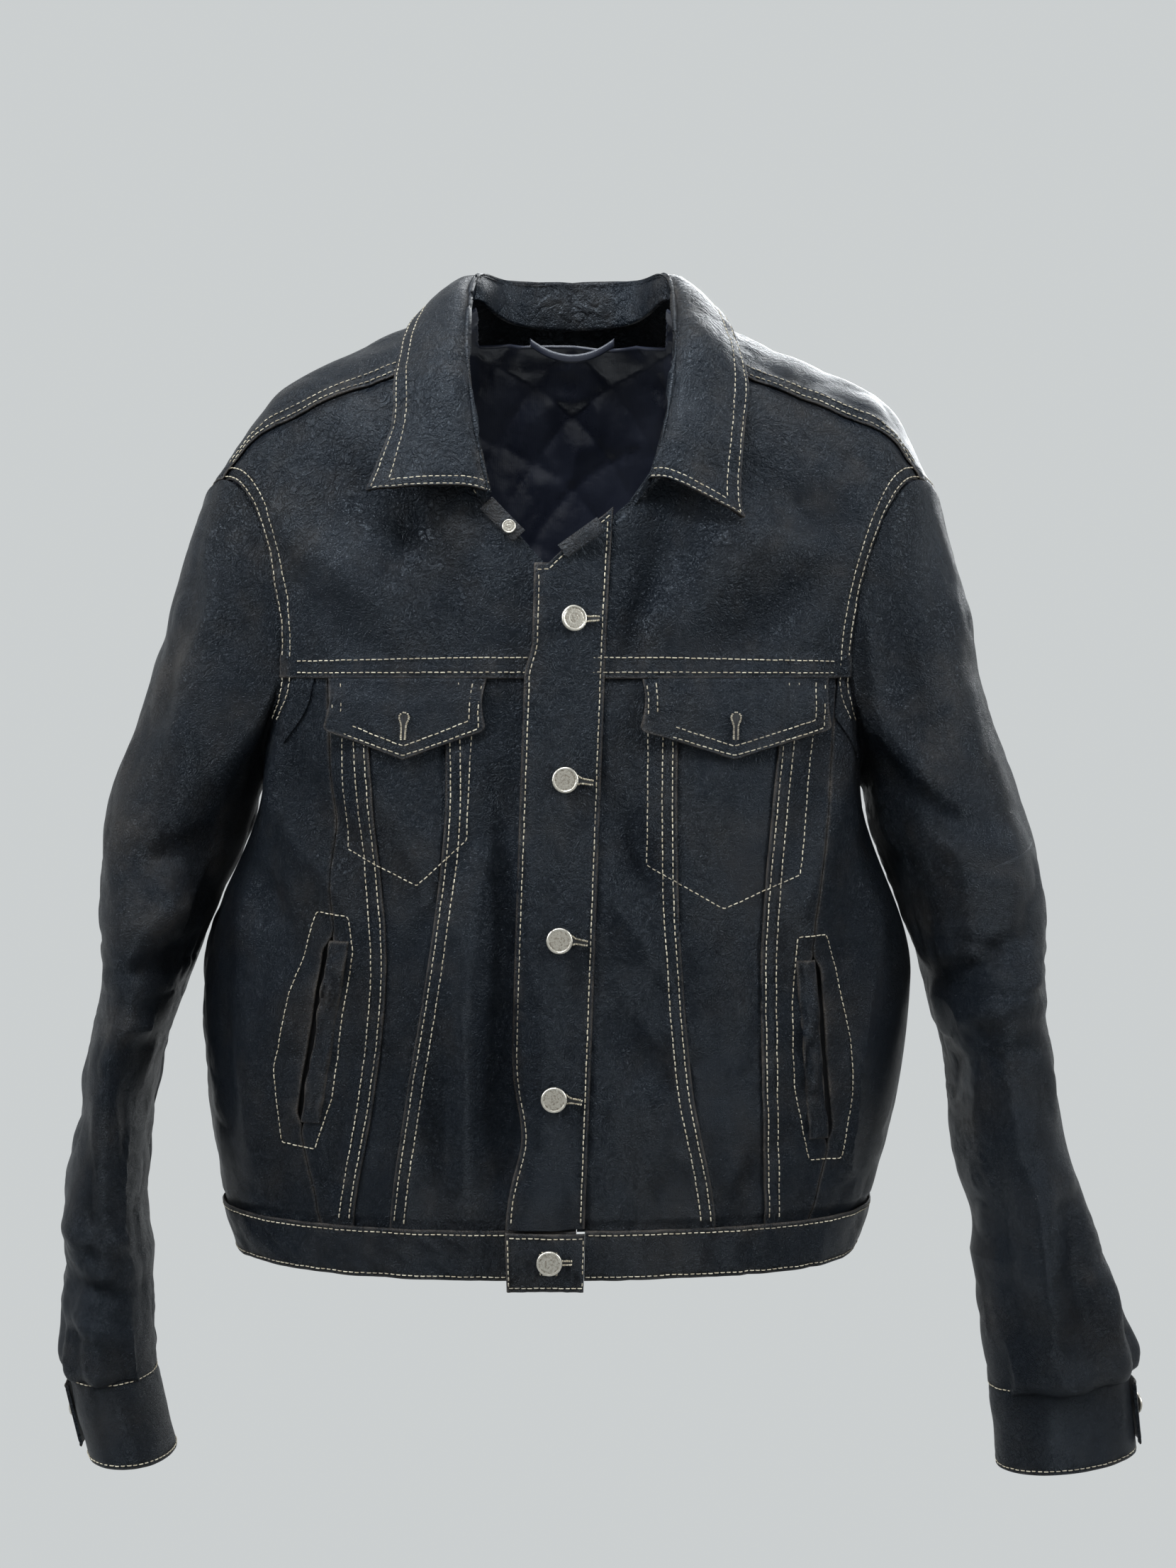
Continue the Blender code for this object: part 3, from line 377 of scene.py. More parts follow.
# ---- meshes --------------------------------------------------------------------------
def new_object(name, points, faces, material, attributes=None, smooth_faces=None):
    """A mesh object from arrays; faces is a list of equal-length index arrays, and those
    after the first smooth_faces are flat."""
    mesh = bpy.data.meshes.new(name)
    counts = np.concatenate([np.full(len(f), f.shape[1]) for f in faces])
    loops = np.concatenate([f.ravel() for f in faces])
    mesh.vertices.add(len(points))
    mesh.vertices.foreach_set("co", np.asarray(points, np.float32).ravel())
    mesh.loops.add(len(loops))
    mesh.loops.foreach_set("vertex_index", loops.astype(np.int32))
    mesh.polygons.add(len(counts))
    starts = np.concatenate(([0], np.cumsum(counts)[:-1]))
    mesh.polygons.foreach_set("loop_start", starts.astype(np.int32))
    last = len(counts) if smooth_faces is None else smooth_faces
    mesh.polygons.foreach_set("use_smooth", np.arange(len(counts)) < last)
    mesh.update(calc_edges=True)
    for key, values in (attributes or {}).items():
        if np.ndim(values) == 2:
            layer = mesh.attributes.new(key, "FLOAT_VECTOR", "POINT")
            layer.data.foreach_set("vector", np.asarray(values, np.float32).ravel())
        else:
            layer = mesh.attributes.new(key, "FLOAT", "POINT")
            layer.data.foreach_set("value", np.asarray(values, np.float32).ravel())
    mesh.validate()
    item = bpy.data.objects.new(name, mesh)
    bpy.context.scene.collection.objects.link(item)
    mesh.materials.append(material)
    return item


def grid_faces(rows, columns, closed=False):
    first = np.arange(rows - 1)[:, None] * columns
    step = np.arange(columns if closed else columns - 1)
    a, b = first + step, first + (step + 1) % columns
    return np.stack((a, a + columns, b + columns, b), -1)


def grid_normals(points, closed=False):
    down = np.gradient(points, axis=0)
    if closed:
        along = np.roll(points, -1, axis=1) - np.roll(points, 1, axis=1)
    else:
        along = np.gradient(points, axis=1)
    return unit(np.cross(down, along))


def shell(name, points, wear, rest, material, thick=HIDE, closed=False, keep=None):
    """A closed piece of a given thickness whose outer face is a grid of points."""
    rows, columns = points.shape[:2]
    faces = grid_faces(rows, columns, closed)
    faces = faces[keep] if keep is not None else faces.reshape(-1, 4)
    inner = points - grid_normals(points, closed) * thick
    total = rows * columns
    edges = np.concatenate([faces[:, [i, (i + 1) % 4]] for i in range(4)])
    code = edges[:, 0] * total + edges[:, 1]
    back = edges[:, 1] * total + edges[:, 0]
    rim = edges[~np.isin(code, back)]
    rim = np.stack((rim[:, 1], rim[:, 0], rim[:, 0] + total, rim[:, 1] + total), -1)
    every = np.concatenate((faces, faces[:, ::-1] + total, rim))
    coordinates = np.concatenate((points.reshape(-1, 3), inner.reshape(-1, 3)))
    used, every = np.unique(every, return_inverse=True)
    every = every.reshape(-1, 4)
    worn = np.concatenate((wear.ravel(), wear.ravel()))[used]
    place = np.concatenate((rest.reshape(-1, 3), rest.reshape(-1, 3)))[used]
    return new_object(name, coordinates[used], [every], material,
                      {"wear": worn, "rest": place}, 2 * len(faces))


# ---- panels --------------------------------------------------------------------------
EDGE_STEPS = np.array((0, 0.4, 0.9, 1.5, 2.2, 3.0, 4.2, 5.6, 7.2, 8.6, 9.6, 10.6, 12.0,
                       14.0, 17.0)) / 1000
MESH_STEP = 0.0028
TOP_FROM = 0.05             # level above which a piece's top line may slant


def spread(length, fine_start=True, fine_end=True):
    """Places along a length, close together near the ends that are asked for."""
    head = EDGE_STEPS[EDGE_STEPS < length * 0.45] if fine_start else np.array((0.0,))
    tail = EDGE_STEPS[EDGE_STEPS < length * 0.45] if fine_end else np.array((0.0,))
    room = length - head[-1] - tail[-1]
    count = max(2, int(round(room / MESH_STEP)))
    middle = head[-1] + room * np.arange(1, count) / count
    return np.concatenate((head, middle, (length - tail)[::-1]))


def edge_shape(d, along, kind, mark):
    """Lift and wear near an edge: d from the edge, along it, how it is sewn."""
    wobble = noise(np.stack((along, d * 0, d * 0 + mark), -1), (0.006, 1, 1))
    if kind == "under":
        return -LAP * (1 - smooth((d - 0.004) / 0.006)), 0 * d
    if kind == "plain":
        return 0 * d, 0 * d
    roll = np.clip(1 - d / 0.0014, 0, 1)
    lift = -0.0011 * (1 - np.sqrt(1 - roll ** 2))
    worn = np.exp(-(d / 0.0013) ** 2) * 0.9
    rows = {"over": (ROW_NEAR, ROW_FAR), "hem": (ROW_HEM,), "free": (ROW_FREE,),
            "flap": FLAP_ROWS, "collar": COLLAR_ROWS, "bare": ()}[kind]
    if kind == "over":
        lift = lift + LAP * (1 - smooth((d - 0.010) / 0.008))
    for row in rows:
        near = np.exp(-((d - row) / 0.0009) ** 2)
        beside = np.exp(-((d - row) / 0.0035) ** 2)
        lift = lift - 0.00040 * near
        lift = lift + 0.00030 * beside * wobble
        worn = worn + 0.18 * beside * np.clip(wobble, 0, 1)
    return lift, worn


def panel(name, start, end, levels, body, kinds=("plain",) * 4, lift=0.0, mark=0.0,
          extra=None, replaces=(), material=None, fine=(True, True), keep_from=None,
          thick=HIDE, top=None):
    """A piece of the body between two girth-angle edges; levels fall from first to last.

    kinds name how the start, end, first and last edges are sewn."""
    levels = np.asarray(levels, float)
    samples = np.linspace(0, 1, 49)
    a, b = np.asarray(start(levels), float), np.asarray(end(levels), float)
    angles = a[:, None] + (b - a)[:, None] * samples
    ring = surface(angles, levels[:, None])
    run = np.linalg.norm(np.diff(ring, axis=1), axis=-1).cumsum(1)
    run = np.concatenate((np.zeros((len(levels), 1)), run), 1)
    length = run[:, -1]
    longest = length.max()
    share = spread(longest, fine[0], fine[1])
    shares = np.empty((len(levels), len(share)))
    blend = smooth((share / longest - 0.1) / 0.8)
    for r in range(len(levels)):
        place = mix(share, length[r] - longest + share, blend)
        shares[r] = np.interp(place, run[r], angles[r])
    grid_level = np.broadcast_to(levels[:, None], shares.shape)
    if top is not None:
        grid_level = np.where(grid_level > TOP_FROM, mix(TOP_FROM, top(shares), (
            grid_level - TOP_FROM) / (levels[0] - TOP_FROM)), grid_level)
    flat = surface(shares, grid_level)
    across = np.linalg.norm(np.diff(flat, axis=1), axis=-1).cumsum(1)
    across = np.concatenate((np.zeros((len(levels), 1)), across), 1)
    down = np.linalg.norm(np.diff(flat, axis=0), axis=-1).cumsum(0)
    down = np.concatenate((np.zeros((1, shares.shape[1])), down), 0)
    distances = (across, across[:, -1:] - across, down, down[-1:] - down)
    alongs = (down, down, across, across)
    stand = np.full(shares.shape, 0.0) + lift
    wear = np.zeros(shares.shape)
    for k, kind in enumerate(kinds):
        more, worn = edge_shape(distances[k], alongs[k], kind, mark + k)
        stand = stand + more
        wear = wear + worn
    if extra is not None:
        more, worn = extra(shares, grid_level, distances)
        stand = stand + more
        wear = wear + worn
    points, _, _ = leather(shares, grid_level, stand)
    keep = None
    if keep_from is not None:
        middle = 0.25 * (shares[:-1, :-1] + shares[1:, :-1]
                         + shares[:-1, 1:] + shares[1:, 1:])
        rows = 0.5 * (grid_level[:-1, :-1] + grid_level[1:, :-1])
        keep = keep_from(middle, rows)
    item = shell(name, points, wear, flat, material or MATERIALS["leather"], thick,
                 keep=keep)
    if replaces:
        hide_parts(*replaces)
    if body:
        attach(item, body)
    return item


def fine_levels(first, last, top=True, bottom=True):
    """Levels from first down to last, close together at the seams."""
    spots = np.linspace(first, last, 160)
    steps = np.linalg.norm(np.diff(surface(20.0, spots), axis=0), axis=-1)
    run = np.concatenate(((0.0,), steps.cumsum()))
    return np.interp(spread(run[-1], top, bottom), run, spots)


# ---- stitches ------------------------------------------------------------------------
THREADS = {}
RING = np.radians(np.arange(6) * 60.0)


def sew(body, points, normals, lift=0.0, pitch=PITCH, length=STITCH, radius=THREAD):
    """Lay a row of single stitches along a path."""
    steps = np.linalg.norm(np.diff(points, axis=0), axis=-1)
    run = np.concatenate(((0.0,), steps.cumsum()))
    count = int((run[-1] - length) / pitch) + 1
    spare = run[-1] - (count - 1) * pitch - length
    if count < 1 or spare < 0:
        return
    first = np.arange(count) * pitch + 0.5 * spare
    jitter = RNG.uniform(-1, 1, (count, 3))
    size = length * (1 + 0.10 * jitter[:, 0])
    u = np.array((0.0, 0.10, 0.32, 0.68, 0.90, 1.0))
    dip = np.array((-0.0007, -0.00012, 0.0, 0.0, -0.00012, -0.0007))
    fat = np.array((0.55, 0.95, 1.0, 1.0, 0.95, 0.55)) * radius
    spots = first[:, None] + u * size[:, None]
    centre = np.stack([np.interp(spots, run, points[:, k]) for k in range(3)], -1)
    normal = unit(np.stack([np.interp(spots, run, normals[:, k]) for k in range(3)], -1))
    ahead = unit(centre[:, -1] - centre[:, 0])[:, None, :]
    side = unit(np.cross(normal, ahead))
    centre = (centre + normal * (dip + lift)[..., None]
              + side * (jitter[:, 1, None, None] * 0.00016))
    wheel = (side[:, :, None, :] * np.cos(RING)[:, None]
             + normal[:, :, None, :] * (np.sin(RING) * 0.85)[:, None])
    vertices = centre[:, :, None, :] + wheel * fat[None, :, None, None]
    THREADS.setdefault(body, []).append((vertices.reshape(count, -1, 3), jitter[:, 2]))


def finish_threads():
    """One mesh of thread for each body that has stitches."""
    faces = []
    for ring in range(5):
        for k in range(6):
            a, b = ring * 6 + k, ring * 6 + (k + 1) % 6
            faces.append((a, b, b + 6, a + 6))
    faces = np.array(faces)
    caps = np.array(((5, 4, 3, 2, 1, 0), (30, 31, 32, 33, 34, 35)))
    made = {}
    for body, rows in THREADS.items():
        vertices = np.concatenate([row[0] for row in rows])
        tone = np.concatenate([row[1] for row in rows])
        start = (np.arange(len(vertices)) * 36)[:, None, None]
        quads = (faces + start).reshape(-1, 4)
        ends = (caps + start).reshape(-1, 6)
        points = vertices.reshape(-1, 3)
        item = new_object("stitches_" + body, points, [quads, ends], MATERIALS["thread"],
                          {"wear": np.repeat(tone, 36), "rest": points})
        made[body] = item
    return made


def sew_body(body, angle, level, lift=0.0):
    points, normals, _ = leather(angle, level, lift)
    sew(body, points, normals)


def seam_rows(edge, first, last, inward, count=240):
    """Two stitch rows beside a seam; inward is +1 or -1 along the girth angle."""
    levels = np.linspace(first, last, count)
    for row in (ROW_NEAR, ROW_FAR):
        sew_body("shell", shifted(edge(levels), levels, inward * row), levels, LAP)


def on_side(side, edge):
    return lambda v: side * np.asarray(edge(v))


# ---- pieces that cross a joint -------------------------------------------------------
CROSSINGS = {}              # key: the two bodies, and the points that it bends between


def hang(item):
    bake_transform(item)


# ---- materials -----------------------------------------------------------------------
class Nodes:
    """Short hand for building a node material."""

    def __init__(self, name):
        self.material = bpy.data.materials.new(name)
        self.material.use_nodes = True
        self.tree = self.material.node_tree
        self.shader = self.tree.nodes["Principled BSDF"]

    def add(self, kind, inputs=None, **settings):
        node = self.tree.nodes.new("ShaderNode" + kind)
        for key, value in settings.items():
            setattr(node, key, value)
        for key, value in (inputs or {}).items():
            self.join(value, node.inputs[key])
        return node

    def join(self, value, socket):
        if isinstance(value, bpy.types.NodeSocket):
            self.tree.links.new(value, socket)
        elif isinstance(value, bpy.types.Node):
            self.tree.links.new(value.outputs[0], socket)
        else:
            socket.default_value = value

    def place(self, key="rest"):
        return self.add("Attribute", attribute_name=key)

    def noise(self, scale, detail=3.0, rough=0.5, vector=None):
        return self.add("TexNoise", {"Vector": vector or self.rest, "Scale": scale,
                                     "Detail": detail, "Roughness": rough}).outputs["Fac"]

    def warped(self, scale, detail, amount):
        """The place on the piece, shaken by noise."""
        shake = self.add("TexNoise", {"Vector": self.rest, "Scale": scale,
                                      "Detail": detail}).outputs["Color"]
        return self.add("VectorMath", {0: self.rest, 1: shake, 2: (amount,) * 3},
                        operation="MULTIPLY_ADD").outputs[0]

    def cells(self, scale, feature="F1", vector=None):
        return self.add("TexVoronoi", {"Vector": vector or self.rest, "Scale": scale},
                        feature=feature).outputs["Distance"]

    def ramp(self, value, low, high, start=0.0, end=1.0):
        return self.add("MapRange", {"Value": value, "From Min": low, "From Max": high,
                                     "To Min": start, "To Max": end}).outputs["Result"]

    def math(self, operation, a, b=0.0):
        return self.add("Math", {0: a, 1: b}, operation=operation).outputs[0]

    def tint(self, factor, a, b):
        node = self.add("Mix", data_type="RGBA")
        self.join(factor, node.inputs["Factor"])
        for value, socket in ((a, node.inputs[6]), (b, node.inputs[7])):
            self.join((*value, 1.0) if isinstance(value, tuple) else value, socket)
        return node.outputs[2]

    def bump(self, height, distance, strength=1.0, normal=None):
        node = self.add("Bump", {"Height": height, "Distance": distance,
                                 "Strength": strength})
        if normal is not None:
            self.join(normal, node.inputs["Normal"])
        return node.outputs["Normal"]

    def set(self, **values):
        for key, value in values.items():
            self.join(value, self.shader.inputs[key.replace("_", " ")])


def leather_material(name, dark, brown, pale, wear_gain=1.0):
    n = Nodes(name)
    n.rest = n.place("rest").outputs["Vector"]
    worn = n.place("wear").outputs["Fac"]
    cloud = n.noise(14.0, 4.0, 0.6)
    patch = n.noise(55.0, 5.0, 0.65)
    speck = n.cells(420.0)
    grain = n.cells(1050.0)
    pores = n.noise(2300.0, 2.0)
    creases = n.cells(210.0, "DISTANCE_TO_EDGE", n.warped(120.0, 3.0, 0.006))
    base = n.tint(n.ramp(cloud, 0.47, 0.74), dark, brown)
    scuff = n.math("MULTIPLY", n.ramp(patch, 0.50, 0.72), n.ramp(cloud, 0.35, 0.65))
    base = n.tint(n.math("MULTIPLY", scuff, 0.12), base, pale)
    edge = n.math("MULTIPLY", worn, n.ramp(patch, 0.30, 0.62))
    edge = n.math("MULTIPLY", edge, wear_gain)
    base = n.tint(edge, base, pale)
    dust = n.math("MULTIPLY", n.ramp(speck, 0.10, 0.05), n.ramp(n.noise(75.0), 0.62, 0.70))
    base = n.tint(n.math("MULTIPLY", dust, 0.6), base, (0.42, 0.41, 0.38))
    rough = n.math("ADD", n.ramp(patch, 0.25, 0.75, 0.27, 0.41),
                   n.math("MULTIPLY", edge, 0.18))
    relief = n.math("ADD", n.math("MULTIPLY", n.ramp(grain, 0.0, 0.6), 0.30),
                    n.math("MULTIPLY", pores, 0.12))
    relief = n.math("ADD", relief, n.math("MULTIPLY", n.ramp(creases, 0.0, 0.10), 0.34))
    relief = n.math("ADD", relief, n.math("MULTIPLY", n.noise(330.0, 3.0), 0.5))
    wrinkles = n.cells(88.0, "DISTANCE_TO_EDGE", n.warped(45.0, 4.0, 0.018))
    spread_out = n.ramp(n.noise(11.0, 2.0), 0.36, 0.62, 0.15, 1.0)
    wide = n.bump(n.math("MULTIPLY", n.ramp(wrinkles, 0.0, 0.22), spread_out), 0.0010)
    n.set(Base_Color=base, Roughness=rough, Normal=n.bump(relief, 0.00050, 1.0, wide))
    n.shader.inputs["Specular IOR Level"].default_value = 0.19
    n.shader.inputs["Specular Tint"].default_value = (0.80, 0.90, 1.0, 1.0)
    return n.material


def satin_material():
    n = Nodes("satin_lining")
    n.rest = n.place("rest").outputs["Vector"]
    cloud = n.noise(25.0, 4.0)
    fine = n.noise(1500.0, 2.0)
    twill = n.add("TexWave", {"Vector": n.rest, "Scale": 420.0, "Distortion": 0.4})
    n.set(Base_Color=n.tint(n.ramp(cloud, 0.35, 0.7), (0.008, 0.010, 0.019),
                            (0.016, 0.019, 0.032)),
          Roughness=n.ramp(cloud, 0.3, 0.7, 0.26, 0.40),
          Normal=n.bump(n.math("ADD", n.math("MULTIPLY", fine, 0.5), twill), 0.00005, 0.6,
                        n.bump(n.noise(90.0, 3.0), 0.0009, 0.6)))
    n.shader.inputs["Sheen Weight"].default_value = 0.25
    n.shader.inputs["Sheen Roughness"].default_value = 0.4
    return n.material


def cloth_material(name="pocket_cloth", gain=1.0):
    n = Nodes(name)
    n.rest = n.place("rest").outputs["Vector"]
    weave = n.add("TexWave", {"Vector": n.rest, "Scale": 500.0, "Distortion": 1.5})
    n.set(Base_Color=n.tint(n.noise(60.0), (0.006 * gain, 0.006 * gain, 0.007 * gain),
                            (0.014 * gain, 0.014 * gain, 0.015 * gain)),
          Roughness=n.ramp(n.noise(200.0), 0.3, 0.7, 0.75, 0.95),
          Normal=n.bump(weave, 0.0001))
    return n.material


def thread_material():
    n = Nodes("cream_thread")
    n.rest = n.place("rest").outputs["Vector"]
    tone = n.place("wear").outputs["Fac"]
    dirt = n.noise(30.0, 4.0, 0.65)
    fresh = n.tint(n.ramp(tone, -1.0, 1.0), (0.24, 0.20, 0.135), (0.43, 0.385, 0.29))
    n.set(Base_Color=n.tint(n.ramp(dirt, 0.48, 0.72), fresh, (0.10, 0.085, 0.065)),
          Roughness=n.ramp(dirt, 0.3, 0.7, 0.6, 0.85),
          Normal=n.bump(n.add("TexWave", {"Vector": n.rest, "Scale": 900.0}), 0.0001))
    return n.material


def nickel_material():
    n = Nodes("aged_nickel")
    n.rest = n.place("rest").outputs["Vector"]
    worn = n.place("wear").outputs["Fac"]
    blotch = n.noise(650.0, 4.0, 0.65)
    tarnish = n.math("MULTIPLY", n.ramp(blotch, 0.44, 0.60), n.ramp(worn, 1.0, 0.1))
    n.set(Base_Color=n.tint(tarnish, (0.46, 0.43, 0.37), (0.11, 0.09, 0.065)),
          Roughness=n.ramp(blotch, 0.3, 0.7, 0.22, 0.45),
          Metallic=n.ramp(tarnish, 0.0, 1.0, 0.95, 0.55),
          Normal=n.bump(n.noise(900.0, 3.0), 0.00016))
    return n.material


MATERIALS = {
    "leather": leather_material("black_leather", (0.0018, 0.0028, 0.0048),
                                (0.0056, 0.0046, 0.0042), (0.054, 0.045, 0.037)),
    "satin": satin_material(),
    "cloth": cloth_material(),
    "thread": thread_material(),
    "nickel": nickel_material(),
    # slit_shadow is painted shade: a darkened copy of the pocket cloth laid over the
    # buttonholes
    "dark": cloth_material("slit_shadow", 0.35),
}


# ---- body panels ---------------------------------------------------------------------
def sided(side, near, far):
    """Start and end edges for a piece given by positive angles on one side."""
    if side > 0:
        return near, far
    return (lambda v: -np.asarray(far(v)), lambda v: -np.asarray(near(v)))


def sided_kinds(side, near, far, first, last):
    return (near, far, first, last) if side > 0 else (far, near, first, last)


def inner_seam(name):
    return lambda v: seam_angle(INNER_SEAM[name], v)


def outer_seam(name):
    return lambda v: seam_angle(OUTER_SEAM[name], v)


def moved(edge, distance):
    return lambda v: shifted(edge(v), v, distance)


def front_panels(name, side):
    levels = fine_levels(0.004, -PANEL_DROP - 0.002)
    inner, outer = inner_seam(name), outer_seam(name)

    def placket_side(v):
        return angle_at(PANEL_START, v) if side > 0 else -angle_at(STAND_HALF, v)

    def armhole(v):
        return armhole_angle(v) - 0.05
    spans = (("front_centre_panel_", placket_side, moved(inner, 0.0008), "under", "over"),
             ("front_middle_panel_", moved(inner, -0.006), moved(outer, 0.006),
              "under", "under"),
             ("front_side_panel_", moved(outer, -0.0008), armhole, "over", "plain"))
    for k, (label, near, far, near_kind, far_kind) in enumerate(spans):
        start, end = sided(side, near, far)
        stands_for = [label + name]
        if label == "front_centre_panel_" and side < 0:
            stands_for.append("button_stand")
        if label == "front_side_panel_":
            side_panel(name, side, start, end, levels,
                       sided_kinds(side, near_kind, far_kind, "under", "under"))
            continue
        panel(label + name, start, end, levels, "shell",
              sided_kinds(side, near_kind, far_kind, "under", "under"), mark=10 * k + side,
              replaces=stands_for)
    for edge, inward in ((inner, -side), (outer, side)):
        seam_rows(on_side(side, edge), -0.003, -PANEL_DROP + 0.003, inward)


def slot_x(name, level):
    top, end = POCKET_TOP[name], POCKET_END[name]
    share = (YOKE_Z + level - top[1]) / (end[1] - top[1])
    return mix(top[0], end[0], share)


def slot_angle(name, level):
    """The line of the hand pocket, carried on to the top and bottom of its panel."""
    top = POCKET_TOP[name][1] - YOKE_Z
    end = POCKET_END[name][1] - YOKE_Z
    inside = np.clip(level, end, top)
    x = slot_x(name, inside) + np.maximum(0.0, level - top) * 0.06
    x = x - np.maximum(0.0, end - level) * 0.2
    return angle_at(x, level)


SLOT_HALF = 0.0042


def side_panel(name, side, start, end, levels, kinds):
    """The side panel in two runs of columns that part at the hand pocket."""
    top = POCKET_TOP[name][1] - YOKE_Z
    last = POCKET_END[name][1] - YOKE_Z

    def gap(v):
        inside = np.minimum(top - 0.004 - v, v - last - 0.004)
        return SLOT_HALF * smooth(inside / 0.012)

    def middle(v):
        return side * slot_angle(name, v)

    def lips(angles, level, distances):
        away = np.abs(angles - middle(level)) * 0.0035
        inside = smooth(np.minimum(top - level, level - last) / 0.020)
        swell = 0.0022 * np.exp(-(away / 0.009) ** 2) * inside
        return swell, 0.5 * np.exp(-(away / 0.006) ** 2) * inside
    near_start = (lambda v: start(v), lambda v: shifted(middle(v), v, -gap(v)))
    far_start = (lambda v: shifted(middle(v), v, gap(v)), lambda v: end(v))
    labels = ("front_side_panel_", "front_side_panel_rear_")[::side]
    for label, (a, b), edge_kinds in zip(labels, (near_start, far_start), (
            (kinds[0], "bare", kinds[2], kinds[3]), ("bare", kinds[1], kinds[2], kinds[3]))):
        stands_for = ["front_side_panel_" + name] if label == "front_side_panel_" else []
        panel(label + name, a, b, levels, "shell", edge_kinds, mark=31 + side,
              extra=lips, replaces=stands_for)


def front_yoke(name, side):
    levels = fine_levels(SHOULDER_SEAM + 0.012, -0.0009)

    def near(v):
        edge = neck_angle(name, v)
        if side > 0:
            return np.maximum(angle_at(PANEL_START, 0.0), edge)
        low = surface(-8.0, v)[..., 2]
        return mix(-angle_at(STAND_HALF, 0.0), edge, smooth((low + 0.176) / 0.016))

    def far(v):
        return 0 * np.asarray(v) + ARMHOLE_ANGLE - 0.05
    start, end = sided(side, near, far)
    panel("front_yoke_" + name, start, end, levels, "shell",
          sided_kinds(side, "under" if side > 0 else "plain", "over", "under", "over"),
          mark=50 + side, replaces=["front_yoke_" + name])
    angles = side * np.linspace(4.0 if side > 0 else -3.0, ARMHOLE_ANGLE - 0.5, 200)
    for row in (ROW_NEAR, ROW_FAR):
        sew_body("shell", angles, row / YOKE_REACH, LAP)
    if side < 0:
        rise = np.linspace(0.46, 0.25, 60)
        sew_body("shell", -(neck_angle(name, rise) + 1.6), rise, 0.0)
    seam_rows(on_side(side, armhole_angle), -0.030, SHOULDER_SEAM + 0.01, -side, 200)


def back_body():
    levels = fine_levels(2 + PANEL_DROP + 0.002, 2 - 0.001)

    def seam(v):
        return seam_angle(BACK_SEAM, np.asarray(v) - 2)

    def flip(edge):
        return lambda v: -edge(v)
    wide = moved(seam, 0.0008)
    panel("back_centre_panel", flip(wide), wide, levels, "shell",
          ("over", "over", "under", "under"), mark=70, replaces=["back_centre_panel"])
    for name, side in SIDES:
        start, end = sided(side, moved(seam, -0.006), lambda v: armhole_angle(v) - 0.05)
        panel("back_side_panel_" + name, start, end, levels, "shell",
              sided_kinds(side, "under", "plain", "under", "under"), mark=80 + side,
              replaces=["back_side_panel_" + name])
        seam_rows(on_side(side, seam), 2 + PANEL_DROP - 0.003, 2.003, -side)
        seam_rows(on_side(side, armhole_angle), 1.99, SHOULDER_SEAM + 0.02, -side)
    angles = np.linspace(-ARMHOLE_ANGLE + 0.5, ARMHOLE_ANGLE - 0.5, 400)
    for row in (ROW_NEAR, ROW_FAR):
        sew_body("shell", angles, 2 - row / YOKE_REACH, LAP)


def back_yoke():
    levels = np.concatenate((fine_levels(2.0009, 1.276, bottom=False),
                             fine_levels(1.275, SHOULDER_SEAM - 0.003, top=False)))
    for name, side in SIDES:
        def near(v):
            low = np.array([neck_angle(name, min(max(float(x), 0.6), 1.4)) for x in v])
            return low[:, 0] * smooth((1.35 - v) / 0.075) + 0.0
        start, end = sided(side, near, lambda v: 0 * v + ARMHOLE_ANGLE - 0.05)
        panel("back_yoke_" + name, start, end, levels, "shell",
              sided_kinds(side, "plain", "over", "over", "over"), mark=90,
              replaces=["back_yoke"] if side > 0 else [])
        first = float(neck_angle(name, SHOULDER_SEAM)[0]) + 1.5
        angles = side * np.linspace(first, ARMHOLE_ANGLE - 0.3, 160)
        for row in (ROW_NEAR, ROW_FAR):
            sew_body("shell", angles, SHOULDER_SEAM + row / SHOULDER_REACH, LAP)


V_LINE = ((-0.040, -0.160), (-0.0145, -0.1600), (-0.004, -0.1500), (0.012, -0.1360),
          (0.0265, -0.1240), (0.045, -0.1100))


def v_level(angle):
    """Level of the neck line above the placket at a girth angle."""
    line = np.array(V_LINE)
    spots = np.linspace(0.05, 0.60, 56)
    shape = np.shape(angle)
    flat = np.ravel(angle)
    points = surface(flat[:, None], spots[None, :])
    x = points[..., 0] - SWAY_TOP
    gap = points[..., 2] - np.interp(x, line[:, 0], line[:, 1])
    level = np.array([np.interp(0.0, gap[k], spots) for k in range(len(flat))])
    return level.reshape(shape)


def placket_lift(angle, level):
    """The placket stands off the button stand and settles at its own seam."""
    x = surface(angle, level)[..., 0] - sway(surface(angle, level)[..., 2])
    return mix(0.0045, 0.0012, smooth((x - 0.004) / 0.018))


def placket_edge(level):
    """Half width towards the free edge, which wanders a little."""
    z = YOKE_Z + np.asarray(level, float)
    half = PLACKET_HALF - 0.0085 * np.exp(-((z + 0.542) / 0.030) ** 2)
    half = half - 0.0045 * smooth((z + 0.235) / 0.06)
    return -angle_at(half, np.minimum(level, 0))


